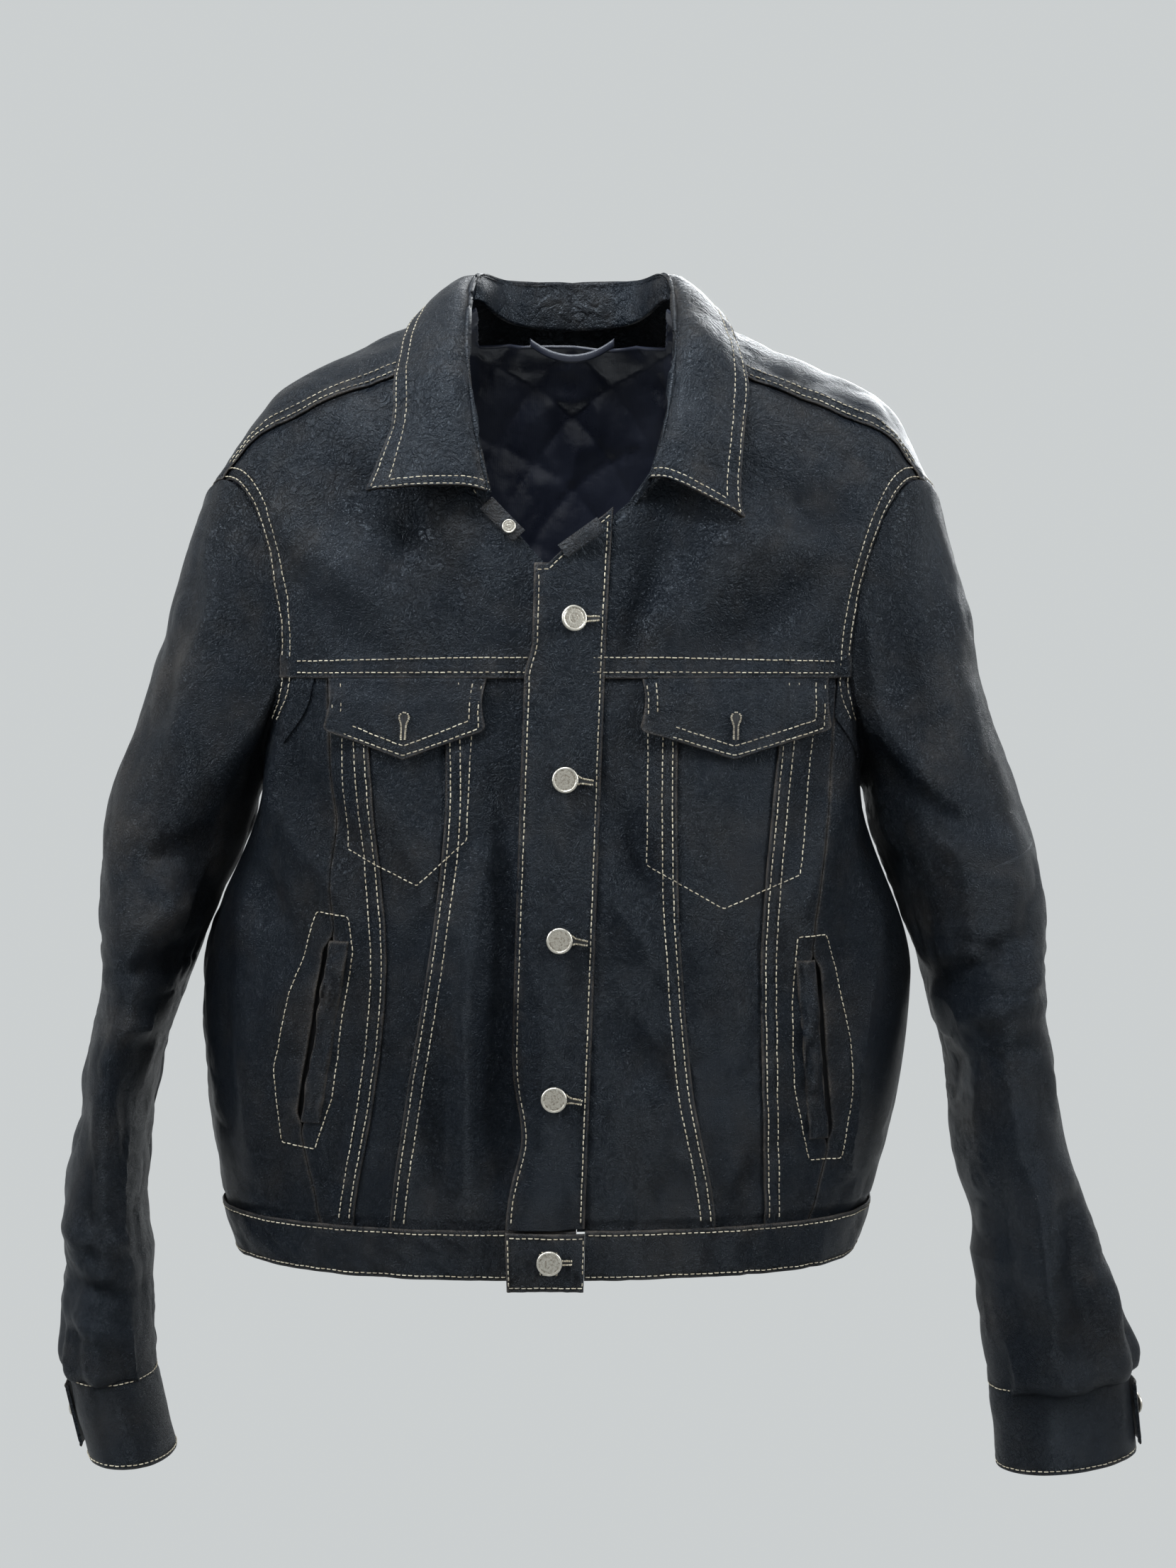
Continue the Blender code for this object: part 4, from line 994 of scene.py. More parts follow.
def placket():
    levels = fine_levels(0.34, -PANEL_DROP + 0.001)

    def right(v):
        return angle_at(PLACKET_HALF, np.minimum(v, 0))

    def extra(angles, level, distances):
        return placket_lift(angles, level), 0 * angles
    item = panel("buttonhole_placket", placket_edge, right, levels, None,
                 ("free", "hem", "free", "plain"), mark=110, extra=extra, top=v_level,
                 replaces=["buttonhole_placket"], thick=FOLDED)
    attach(item, "placket")
    run = np.linspace(0.30, -PANEL_DROP + 0.004, 260)
    for edge, row in ((placket_edge, ROW_FREE), (right, -ROW_HEM)):
        angle = shifted(edge(run), run, row)
        path = run < v_level(angle) - 0.015
        sew_body("placket", angle[path], run[path], placket_lift(angle, run)[path])
    across = np.linspace(float(placket_edge(0.2)) + 0.8, float(right(0.0)) - 0.8, 90)
    edge_level = v_level(across) - ROW_FREE / YOKE_REACH
    sew_body("placket", across, edge_level, placket_lift(across, edge_level))


# ---- waistband -----------------------------------------------------------------------
def waistband():
    top = -PANEL_DROP - SEAM_GAP
    levels = np.interp(spread(BAND_HEIGHT), (0, BAND_HEIGHT), (top, top - BAND_HEIGHT))
    first = float(angle_at(PLACKET_HALF, -PANEL_DROP)) + 0.2
    last = 360 + float(angle_at(STAND_HALF, -PANEL_DROP))

    def extra(angles, level, distances):
        seam = sum(np.exp(-((angles - spot) / 0.35) ** 2) for spot in (90, 270))
        place = np.stack((distances[0], level, 0 * level), -1)
        ripple = noise(place, (0.011, 0.02, 1), 4.0)
        middle = np.sin(np.pi * np.clip((top - level) / BAND_HEIGHT, 0, 1))
        return 0.0016 + 0.0011 * ripple * middle - 0.0016 * seam, 0.0 * seam
    panel("waistband", lambda v: 0 * v + first, lambda v: 0 * v + last, levels, "shell",
          ("plain", "plain", "hem", "hem"), mark=130, extra=extra, thick=0.0036,
          replaces=["waistband_front_left", "waistband_front_right", "waistband_back"])
    angles = np.linspace(first + 0.3, last - 0.3, 900)
    for level in (top - ROW_HEM, top - BAND_HEIGHT + ROW_HEM):
        sew_body("shell", angles, level, 0.0017)


def end_tab():
    """The tab that closes the waistband over its front end."""
    top = -PANEL_DROP - SEAM_GAP
    half = float(angle_at(PLACKET_HALF, -PANEL_DROP))
    height = BAND_HEIGHT + 0.006
    levels = np.interp(spread(height), (0, height), (top, top - height))

    def tab_lift(angles, level, distances):
        return 0.0068 + 0.0006 * noise(np.stack((angles, level, 0 * level), -1),
                                       (1.6, 0.008, 1)), 0.0 * angles
    item = panel("waistband_end_tab", lambda v: 0 * v - half, lambda v: 0 * v + half,
                 levels, None, ("hem", "plain", "hem", "hem"), mark=140, extra=tab_lift,
                 thick=0.0028, replaces=["waistband_end_tab"])
    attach(item, "placket")
    inset = 0.0032
    upper, lower = top - inset, top - height + inset
    near, far = -half + 0.8, half - 0.5
    box = ((near, upper), (far, upper), (far, lower), (near, lower), (near, upper))
    hole = ((-1.7, -0.0125), (4.4, -0.0125), (4.4, -0.0285), (-1.7, -0.0285))
    hole = [(angle, top + drop) for angle, drop in hole]
    for outline in (box, hole + hole[:1]):
        angle, level = along_lines(outline, 60)
        sew_body("placket", angle, level, 0.0070)


def along_lines(corners, each=40):
    """Points along the straight lines between corners, as two arrays."""
    corners = np.array(corners, float)
    t = np.linspace(0, 1, each, endpoint=False)[:, None]
    runs = [mix(a, b, t) for a, b in zip(corners, corners[1:])]
    line = np.concatenate(runs + [corners[-1:]])
    return line[:, 0], line[:, 1]


def rounded_lines(corners, radius=0.006, each=40):
    """The same with its corners rounded off."""
    a, b = along_lines(corners, each)
    line = np.stack((a, b), -1)
    steps = np.linalg.norm(np.diff(line, axis=0), axis=1)
    run = np.concatenate(((0.0,), steps.cumsum()))
    even = np.linspace(0, run[-1], int(run[-1] / 0.001))
    line = np.stack([np.interp(even, run, line[:, k]) for k in range(2)], -1)
    reach = max(1, int(radius / 0.001))
    kernel = np.hanning(2 * reach + 1)
    kernel /= kernel.sum()
    padded = np.concatenate((np.repeat(line[:1], reach, 0), line,
                             np.repeat(line[-1:], reach, 0)))
    return (np.convolve(padded[:, 0], kernel, "valid"),
            np.convolve(padded[:, 1], kernel, "valid"))


# ---- chest pockets -------------------------------------------------------------------
POCKET_LINES = {
    "left": ((0.056, -0.262), (0.059, -0.359), (0.111, -0.388), (0.161, -0.366),
             (0.168, -0.262)),
    "right": ((0.060, -0.252), (0.061, -0.342), (0.092, -0.372), (0.142, -0.349),
              (0.147, -0.262))}
SLOT_LINES = {
    "left": ((0.177, -0.562), (0.164, -0.508), (0.160, -0.456), (0.161, -0.408),
             (0.181, -0.407), (0.191, -0.431), (0.201, -0.479), (0.203, -0.518),
             (0.199, -0.563), (0.177, -0.562)),
    "right": ((0.156, -0.552), (0.145, -0.515), (0.140, -0.460), (0.134, -0.417),
              (0.137, -0.393), (0.160, -0.391), (0.176, -0.446), (0.185, -0.498),
              (0.179, -0.549), (0.156, -0.552))}


def front_lift(name, x, level):
    """How far the laps of the front seams raise the leather at a place."""
    inner = profile(INNER_SEAM[name], -level / PANEL_DROP)
    outer = profile(OUTER_SEAM[name], -level / PANEL_DROP)
    centre = np.where(x < inner + 0.0008, 1 - smooth((inner - x - 0.010) / 0.008), 0.0)
    rear = np.where(x > outer - 0.0008, 1 - smooth((x - outer - 0.010) / 0.008), 0.0)
    return LAP * (centre + rear)


def sew_front(name, side, x, z, extra=0.0):
    level = z - YOKE_Z
    sew_body("shell", side * angle_at(x, level), level, front_lift(name, x, level) + extra)


def flap_stand(side, x, level, share, depth):
    """How far a flap stands off, and its ripple; share runs across it, depth down it."""
    curl = noise(np.stack((x, level, 0 * x + side), -1), (0.024, 0.03, 1), 2.6)
    corner = np.exp(-((share - (0.92 if side < 0 else 0.06)) / 0.10) ** 2)
    stand = mix(0.0010, 0.0052, smooth(depth * 2.2)) + 0.0016 * curl * depth
    return stand + 0.0030 * corner * smooth(depth * 2 - 1), curl


def flap(name, side):
    inner, outer = FLAP_INNER, FLAP_OUTER[name]
    width = outer - inner
    share = spread(width) / width
    down = spread(FLAP_TIP_DROP, fine_start=False) / FLAP_TIP_DROP
    c, r = np.meshgrid(share, down)
    from_side = np.minimum(c, 1 - c) * width
    tip = 1 - np.abs(2 * c - 1)
    drop = mix(FLAP_SIDE_DROP, FLAP_TIP_DROP, tip ** 1.1)
    drop = drop - 0.0035 * (1 - np.sqrt(1 - np.clip(1 - from_side / 0.0045, 0, 1) ** 2))
    bow = 0.0025 * np.sin(np.pi * r) * (1 - 2 * c)
    x = mix(inner, outer, c) + bow
    level = -SEAM_GAP - drop * r
    from_end = (1 - r) * drop * 0.93
    stand, curl = flap_stand(side, x, level, c, r)
    more_a, worn_a = edge_shape(from_side, level, "flap", 150 + side)
    more_b, worn_b = edge_shape(from_end, x, "flap", 160 + side)
    stand = stand + np.minimum(more_a, more_b) + 0.00025 * curl
    wear = np.maximum(worn_a, worn_b)
    if side < 0:
        x, level, stand, wear = (v[:, ::-1] for v in (x, level, stand, wear))
    angle = side * angle_at(x, level)
    points, _, flat = leather(angle, level, stand)
    item = shell("chest_flap_" + name, points, wear, flat, MATERIALS["leather"], 0.0017)
    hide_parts("chest_flap_" + name)
    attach(item, "chest_flap_body_" + name)
    for row in FLAP_ROWS:
        low = row * 0.75 - FLAP_SIDE_DROP - 0.0006 * (row < 0.005)
        x, level = rounded_lines((
            (row, -0.003), (row, low), (width / 2, row - FLAP_TIP_DROP), (width - row, low),
            (width - row, -0.003)), 0.003)
        depth = np.clip(-level / 0.045, 0, 1)
        x = x + inner + 0.0025 * np.sin(np.pi * depth) * (1 - 2 * (x / width))
        stand, _ = flap_stand(side, x, level, (x - inner) / width, depth)
        sew_body("chest_flap_body_" + name, side * angle_at(x, level), level, stand)
    x, z = rounded_lines(POCKET_LINES[name], 0.002)
    sew_front(name, side, x, z)


# ---- hand pockets --------------------------------------------------------------------
def hand_pocket(name, side):
    top = POCKET_TOP[name][1] - YOKE_Z - 0.008
    last = POCKET_END[name][1] - YOKE_Z + 0.008
    x, z = rounded_lines(SLOT_LINES[name], 0.004)
    sew_front(name, side, x, z, SEAM_GAP)
    height = top - last
    levels = np.interp(spread(height), (0, height), (top, last))

    def line(distance):
        def edge(v):
            return side * angle_at(slot_x(name, v) + distance, v)
        return edge
    near, far = sorted((line(-0.0125), line(0.0012)), key=lambda e: float(e(levels[0])))

    def extra(angles, level, distances):
        width = distances[0] + distances[1]
        across = np.clip(distances[0] / width, 0, 1)
        end = np.sin(np.pi * np.clip((top - level) / height, 0, 1)) ** 0.5
        crease = np.abs(noise(np.stack((distances[0], level, 0 * level + side), -1),
                              (0.006, 0.016, 1), 6.0)) - 0.3
        return (0.0014 + 0.0030 * np.sin(np.pi * across) * end + 0.0046 * crease * end,
                0.5 * np.abs(crease))
    panel("hand_pocket_welt_" + name, near, far, levels, "shell", ("bare",) * 4,
          mark=170 + side, extra=extra, thick=0.0012, replaces=["hand_pocket_welt_" + name])
    near, far = sorted((line(-0.030), line(0.014)), key=lambda e: float(e(levels[0])))
    bag = panel("hand_pocket_bag_" + name, near, far, levels, "shell", mark=180,
                lift=-0.0085, material=MATERIALS["cloth"], fine=(False, False),
                replaces=["hand_pocket_bag_" + name], thick=0.0008)


# ---- sleeves -------------------------------------------------------------------------
SLEEVE_FOLDS = {
    "left": (((0.206, -0.171), (0.226, -0.270), 0.011, 0.0050),
             ((0.228, -0.180), (0.262, -0.300), 0.013, -0.0050),
             ((0.221, -0.262), (0.262, -0.315), 0.010, 0.0045),
             ((0.232, -0.300), (0.285, -0.345), 0.011, -0.0050),
             ((0.250, -0.345), (0.305, -0.352), 0.012, 0.0040),
             ((0.262, -0.452), (0.325, -0.405), 0.010, -0.0050),
             ((0.268, -0.478), (0.335, -0.437), 0.010, 0.0045),
             ((0.275, -0.510), (0.340, -0.470), 0.010, -0.0035),
             ((0.290, -0.250), (0.318, -0.420), 0.014, 0.0040),
             ((0.300, -0.560), (0.318, -0.690), 0.009, -0.0040),
             ((0.330, -0.570), (0.345, -0.700), 0.009, 0.0045),
             ((0.352, -0.590), (0.362, -0.700), 0.008, -0.0045),
             ((0.385, -0.620), (0.383, -0.705), 0.008, 0.0035)),
    "right": (((-0.215, -0.150), (-0.255, -0.300), 0.014, 0.0045),
              ((-0.245, -0.180), (-0.285, -0.330), 0.012, -0.0040),
              ((-0.278, -0.362), (-0.225, -0.340), 0.010, -0.0045),
              ((-0.285, -0.408), (-0.232, -0.380), 0.010, 0.0045),
              ((-0.292, -0.440), (-0.240, -0.415), 0.010, -0.0045),
              ((-0.295, -0.470), (-0.255, -0.478), 0.009, 0.0040),
              ((-0.300, -0.500), (-0.285, -0.620), 0.010, 0.0040),
              ((-0.318, -0.530), (-0.305, -0.680), 0.009, -0.0045),
              ((-0.330, -0.610), (-0.282, -0.625), 0.008, 0.0040),
              ((-0.335, -0.645), (-0.285, -0.660), 0.007, -0.0040),
              ((-0.335, -0.670), (-0.285, -0.690), 0.008, 0.0040))}
BACK_SLEEVE_FOLDS = (((0.230, -0.200), (0.290, -0.300), 0.014, 0.0050),
                     ((0.240, -0.300), (0.310, -0.360), 0.012, -0.0045),
                     ((0.262, -0.420), (0.330, -0.400), 0.012, -0.0050),
                     ((0.268, -0.455), (0.330, -0.440), 0.010, 0.0050),
                     ((0.275, -0.490), (0.330, -0.475), 0.010, -0.0045),
                     ((0.300, -0.560), (0.330, -0.690), 0.010, 0.0040),
                     ((0.345, -0.570), (0.355, -0.700), 0.009, -0.0040))
SLEEVE_END = 9              # places run from 0 at the armhole to this at the cuff
SLEEVE_SPLIT = 3.0          # place where the upper piece meets the lower
SLEEVE_SEAM = 285.0         # turn of the long seam behind the arm
SLEEVE_ROWS = (0.0024, 0.0086)
SLEEVE_RADIUS = 0.062       # of the sleeve where that seam runs


def ring(name, place, column):
    rings = SLEEVE_RINGS[name]
    return profile([row[column] for row in rings], np.asarray(place) / SLEEVE_END)


def ellipse(name, side, place, turn):
    """Point of a sleeve section; turn 0 is outermost, 90 is in front."""
    inner_z = ring(name, place, 0)
    drop = np.clip(YOKE_Z - inner_z, 0.0, PANEL_DROP + BAND_HEIGHT)
    inner_x = section(drop)[0] + ring(name, place, 1)
    angle = np.radians(turn)
    share = (1 + np.cos(angle)) / 2
    x = inner_x + ring(name, place, 3) * share
    z = mix(inner_z, ring(name, place, 2), share)
    y = ring(name, place, 4) - ring(name, place, 5) * np.sin(angle)
    return np.stack((side * x + sway(z), y, z), -1)


def armhole_point(side, turn):
    half = np.asarray(turn, float) % 360
    front = half <= 180
    half = np.where(front, half, 360 - half)
    level = np.where(half < 105, 1 - half / 105,
                     -ARMHOLE_DROP * (np.maximum(half - 105, 0.0) / 75) ** 0.8)
    point = surface(side * np.where(half < 105, ARMHOLE_ANGLE, armhole_angle(level)), level)
    point[..., 1] = np.where(front, point[..., 1], -point[..., 1])
    point[..., 0] += side * 0.0030
    return point


def sleeve_flat(name, side, place, turn):
    place, turn = np.broadcast_arrays(np.asarray(place, float), np.asarray(turn, float))
    inside = np.minimum(place, 0.0)
    place = np.maximum(place, 0.0)
    point = ellipse(name, side, place, turn)
    pull = smooth(1 - place / 2.2)[..., None]
    point = point + (armhole_point(side, turn) - ellipse(name, side, 0 * place, turn)) * pull
    centre = np.array((side * 0.225 + SWAY_TOP, 0.0, -0.215))
    inward = unit(centre - point) * 0.35
    inward[..., 0] -= side * 0.94
    return point + inward * (-inside)[..., None] * 0.020


def sleeve_stand(name, side, place, turn, flat):
    """Folds of a sleeve, as a distance off its plain tube."""
    x, y, z = flat[..., 0], flat[..., 1], flat[..., 2]
    front = smooth((0.02 - y) / 0.05)
    behind = tuple(((side * a[0], a[1]), (side * b[0], b[1]), w, h)
                   for a, b, w, h in BACK_SLEEVE_FOLDS)
    hand = (folds(x, z, SLEEVE_FOLDS[name]) * front
            + folds(x, z, behind) * (1 - front))
    broad = noise(flat, (0.045, 0.050, 0.110), 5.5)
    mid = noise(flat, (0.022, 0.030, 0.035), 8.5)
    elbow = np.exp(-((place - 4.3) / 1.0) ** 2)
    bend = (np.abs(noise(flat, (0.060, 0.060, 0.018), 3.5)) - 0.3) * elbow
    gather = smooth((place - 6.8) / 2.0)
    around = np.radians(turn)
    pleats = np.sin(around * 9 + 2.0 * np.sin(2 * around) + 1.4 * noise(flat, 0.03, 2.0))
    blouse = np.exp(-((place - 8.45) / 0.42) ** 2)
    calm = smooth((place - 0.05) / 0.7)
    stand = (1.5 * hand + 0.0042 * broad + 0.0024 * mid + 0.0042 * bend
             + 0.0026 * pleats * gather + 0.0052 * blouse) * calm
    stand = stand - 0.0030 * smooth((place - 8.75) / 0.25)
    inside = smooth((-np.cos(around) - 0.4) / 0.4)
    stand = np.minimum(stand, mix(0.03, 0.0006, inside))
    seam = ((turn - SLEEVE_SEAM + 180) % 360 - 180) * np.pi / 180 * 0.06
    lap = 0.0009 * (1 / (1 + np.exp(seam / 0.0007))) * np.exp(-(seam / 0.016) ** 2)
    return stand + 1.9 * crumple(flat, 7.7) * (0.4 + 0.6 * calm) + lap


def sleeve_cloth(name, side, place, turn, lift=0.0):
    flat = sleeve_flat(name, side, place, turn)
    down = sleeve_flat(name, side, place + 0.02, turn) - sleeve_flat(
        name, side, place - 0.02, turn)
    along = sleeve_flat(name, side, place, turn - side) - sleeve_flat(
        name, side, place, turn + side)
    normal = unit(np.cross(down, along))
    stand = sleeve_stand(name, side, place, turn, flat) + lift
    return flat + normal * stand[..., None], normal, flat


def sleeve(name, side):
    columns = 168
    turns = -side * np.arange(columns) * 360.0 / columns
    rows = np.concatenate((np.array((-0.55, -0.3, -0.12)), np.linspace(0, SLEEVE_END, 260)))
    place, turn = np.meshgrid(rows, turns, indexing="ij")
    points, _, flat = sleeve_cloth(name, side, place, turn)
    wear = 0.25 * smooth((noise(points, 0.035, 4.4) - 0.15) / 0.5) * smooth(place / 2)
    cut = int(np.searchsorted(rows, SLEEVE_SPLIT))
    lap = np.zeros(len(rows))
    lap[cut + 1:cut + 3] = 0.0004, 0.0010
    under = points - grid_normals(points, True) * lap[:, None, None]
    upper = shell("sleeve_upper_" + name, under[:cut + 3], wear[:cut + 3], flat[:cut + 3],
                  MATERIALS["leather"], closed=True)
    lower = shell("sleeve_lower_" + name, points[cut:], wear[cut:], flat[cut:],
                  MATERIALS["leather"], closed=True)
    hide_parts("upper_sleeve_outer_" + name, "upper_sleeve_inner_" + name)
    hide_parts("lower_sleeve_outer_" + name, "lower_sleeve_inner_" + name)
    for label, piece in (("upper", upper), ("lower", lower)):
        hang(piece)
    for label, first, last in (("upper", 0.05, SLEEVE_SPLIT), ("lower", SLEEVE_SPLIT, 8.9)):
        run = np.linspace(first, last, 400)
        for row in SLEEVE_ROWS:
            shift = np.degrees(row / SLEEVE_RADIUS)
            line, normals, _ = sleeve_cloth(name, side, run, SLEEVE_SEAM - shift)
            sew("arm_%s_%s" % (label, name), line, normals)


def crossings():
    """Note where sleeves and collar leaves bend from one body to the next."""
    for name, side in SIDES:
        start = np.array((side * 0.2075 + SWAY_TOP, 0.0, -0.305))
        CROSSINGS["arm_upper_" + name] = ("shell", "upper_arm_" + name, start,
                                          start + np.array((side * 0.050, 0.0, -0.060)))
        start = np.array((side * 0.29, 0.0, -0.390))
        CROSSINGS["arm_lower_" + name] = ("upper_arm_" + name, "forearm_" + name, start,
                                          start - np.array((0.0, 0.0, 0.110)))
        first, last = (collar_line(COLLAR_ROLL, place, side) for place in (2.15, 3.1))
        CROSSINGS["leaf_" + name] = ("shell", "collar_leaf_body_" + name, first, last)


# ---- cuffs ---------------------------------------------------------------------------
CUFF_LAP = 0.006            # how far a cuff reaches up over its sleeve


def cuff_cloth(name, side, share, turn, lift=0.0):
    """Point of the cuff, share 0 at its seam and 1 at its lower edge."""
    share, turn = np.broadcast_arrays(np.asarray(share, float), np.asarray(turn, float))
    top = sleeve_flat(name, side, SLEEVE_END, 0.0)
    low = sleeve_flat(name, side, SLEEVE_END, 180.0)
    centre = (top + low) / 2
    rim = sleeve_flat(name, side, 0 * turn + SLEEVE_END, turn)
    spoke = rim - centre
    ahead = (sleeve_flat(name, side, 0 * turn + SLEEVE_END, turn + 3)
             - sleeve_flat(name, side, 0 * turn + SLEEVE_END, turn - 3))
    out = unit(np.stack((ahead[..., 1], -ahead[..., 0], 0 * ahead[..., 0]), -1))
    out = out * np.sign((out * spoke).sum(-1, keepdims=True))
    fall = 0.0008 + CUFF_HEIGHT * share
    point = centre + spoke * 0.97 + out * np.asarray(lift, float)[..., None]
    point[..., 0] += CUFF_TILT[name] * share * 0.5 * side
    point[..., 2] -= fall
    return point, out


def cuff(name, side):
    columns = 132
    turns = -side * np.arange(columns) * 360.0 / columns
    down = spread(CUFF_HEIGHT + CUFF_LAP) - CUFF_LAP
    share, turn = np.meshgrid(down / CUFF_HEIGHT, turns, indexing="ij")
    flat, _ = cuff_cloth(name, side, share, turn, 0 * share)
    from_top = share * CUFF_HEIGHT + CUFF_LAP
    from_low = (1 - share) * CUFF_HEIGHT
    around = np.radians(turn) * 0.045
    low_lift, low_wear = edge_shape(from_low, around, "hem", 190 + side)
    top_lift, top_wear = edge_shape(from_top, around, "hem", 195 + side)
    ripple = noise(flat, (0.016, 0.016, 0.020), 3.3)
    lift = 0.0020 + 0.0010 * ripple + low_lift + top_lift + crumple(flat, 2.2) * 0.7
    lift = lift - 0.0016 * np.exp(-(from_top / 0.004) ** 2)
    points, _ = cuff_cloth(name, side, share, turn, lift)
    item = shell("cuff_" + name, points, low_wear + top_wear, flat, MATERIALS["leather"],
                 0.0032, closed=True)
    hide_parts("cuff_" + name)
    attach(item, "forearm_" + name)
    ring_turns = -side * np.linspace(0, 360, 400)
    for spot in (ROW_HEM - CUFF_LAP, CUFF_HEIGHT - ROW_HEM):
        line, out = cuff_cloth(name, side, 0 * ring_turns + spot / CUFF_HEIGHT, ring_turns,
                               0 * ring_turns + 0.0022)
        sew("forearm_" + name, line, out)


def cuff_tab(name, side):
    """The pointed tab that the cuff button holds."""
    width, height = 0.046, CUFF_HEIGHT * 0.80
    first, last = 14.0, -44.0
    c, r = np.meshgrid(spread(width) / width, spread(height) / height)
    point_end = 0.006 * np.abs(2 * r - 1) * c ** 3
    turn = mix(first, last, np.minimum(c - point_end / width * 2, 1.0))
    share = mix(0.10, 0.90, r)
    edge = np.minimum(np.minimum(r, 1 - r) * height, (1 - c) * width)
    shape, worn = edge_shape(edge, share * 0.05 + c * 0.05, "hem", 205 + side)
    lift = 0.0066 + 0.0022 * smooth(c * 2 - 1.1) + shape
    if side < 0:
        turn, share, lift, worn = (v[:, ::-1] for v in (turn, share, lift, worn))
    points, _ = cuff_cloth(name, side, share, turn, lift)
    item = shell("cuff_tab_" + name, points, worn, points, MATERIALS["leather"], FOLDED)
    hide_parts("cuff_tab_" + name)
    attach(item, "cuff_tab_body_" + name)


# ---- collar --------------------------------------------------------------------------
LEAF_RISE = {"left": -0.009, "right": 0.008}     # how the tips differ from the CAD lines
LEAF_SHIFT = 0.010
COLLAR_FALL = 0.066
COLLAR_STAND = 0.050
PLACE_LENGTH = 0.062        # metres from one place of the collar to the next at its tips
COLLAR_THICK = 0.0026


def collar_line(table, place, side):
    point = profile(table, np.asarray(place, float) / (len(table) - 1))
    side = np.broadcast_to(side, point.shape[:-1])
    return np.stack((side * point[..., 0] + SWAY_TOP, point[..., 1], point[..., 2]), -1)


def neck_seam(place, side):
    """Where the collar is sewn on: round the neck, then down the front neck line."""
    levels = np.linspace(1.02, 0.16, 60)
    heights = profile((0.0245, -0.008, -0.064, -0.120), np.clip((place - 2) / 3, 0, 1))
    front = {}
    for name, each in SIDES:
        edge = surface(each * (neck_angle(name, levels) + 1.2), levels)
        front[each] = np.stack([np.interp(-heights, -edge[:, 2], edge[:, k])
                                for k in range(3)], -1)
    ahead = np.where((side > 0)[..., None], front[1], front[-1])
    back = collar_line(COLLAR_SEAM, np.minimum(place, 2.0), side)
    return mix(back, ahead, smooth((place - 1.7) / 0.6)[..., None])


def collar_flat(spot, u):
    """Collar surface. spot runs from -5 to 5 round the neck, 0 at the centre back; u is -1
    at the seam, 0 on the roll and 1 at the free edge."""
    spot, u = np.broadcast_arrays(np.asarray(spot, float), np.asarray(u, float))
    place = np.abs(spot)
    side = np.where(spot < 0, -1, 1)
    roll = collar_line(COLLAR_ROLL, place, side)
    edge = collar_line(COLLAR_EDGE, place, side)
    tip = smooth((place - 3.4) / 1.6)
    edge[..., 2] += np.where(side > 0, LEAF_RISE["left"], LEAF_RISE["right"]) * tip
    edge[..., 0] -= LEAF_SHIFT * tip
    roll[..., 2] += np.where(side > 0, 0.010, 0.0) * tip
    seam = neck_seam(place, side)
    leaf = smooth((place - 1.4) / 1.2)[..., None]
    flat_out = unit((edge - seam) * np.array((1.0, 1.0, 0.0)))
    rise = unit(mix(flat_out, np.array((0.0, -0.8, 0.6)), leaf))
    over = np.clip(u, 0, 1)[..., None]
    under = np.clip(-u, 0, 1)[..., None]
    fall = mix(roll, edge, over) + rise * 0.0065 * np.sin(np.pi * over ** 0.75)
    stand = mix(roll, seam, under) - rise * 0.0015 * np.sin(np.pi * under)
    point = np.where(u[..., None] > 0, fall, stand)
    soft = np.exp(-(u / 0.11) ** 2)[..., None]
    return point - unit(rise + np.array((0.0, 0.0, 1.0)) * (1 - leaf)) * 0.0030 * soft


def collar_grid():
    """The whole collar as one grid: rows from the free edge in, columns towards +X."""
    fall = 1 - spread(COLLAR_FALL, fine_end=False) / COLLAR_FALL
    stand = -np.linspace(0, COLLAR_STAND, 16)[1:] / COLLAR_STAND
    tail = spread(0.20, fine_end=False) / 0.20 * 3
    front = 5 - tail
    back = np.linspace(-2, 2, 120)
    spots = np.concatenate((-front[:-1], back[:-1], front[::-1]))
    spot, u = np.meshgrid(spots, np.concatenate((fall, stand)))
    flat = collar_flat(spot, u)
    from_edge = (1 - u) * COLLAR_FALL
    from_tip = (5 - np.abs(spot)) * PLACE_LENGTH
    around = spot * 0.066
    shape, worn = edge_shape(from_edge, around, "collar", 210)
    more, worn_tip = edge_shape(from_tip, u * COLLAR_FALL, "collar", 220)
    over = smooth(u * 5 + 0.4)
    shape = np.minimum(shape, more * over)
    worn = np.maximum(worn, worn_tip * over)
    ladder = np.abs(noise(np.stack((around, from_edge, 0 * u), -1), (0.007, 0.03, 1), 4.0))
    near_edge = np.exp(-((from_edge - 0.007) / 0.005) ** 2)
    lower = smooth((np.abs(spot) - 2.6) / 1.2)
    net = np.abs(noise(flat, 0.0062, 7.0)) - 0.3
    puffs = noise(flat, (0.030, 0.030, 0.034), 1.2)
    curl = smooth(1 - from_tip / 0.03) * smooth(u * 2 - 0.8)
    stand = (shape + 0.0009 * (ladder - 0.3) * near_edge + 0.0009 * net * lower * over
             + 0.0026 * puffs * smooth(u * 1.6 + 0.3) + crumple(flat, 4.1) * 0.6
             + 0.0030 * curl)
    normal = grid_normals(flat)
    wear = worn + 0.45 * np.exp(-((u - 0.02) / 0.07) ** 2) * smooth(0.5 + noise(flat, 0.02))
    return spots, u, flat, flat + normal * stand[..., None], normal, wear


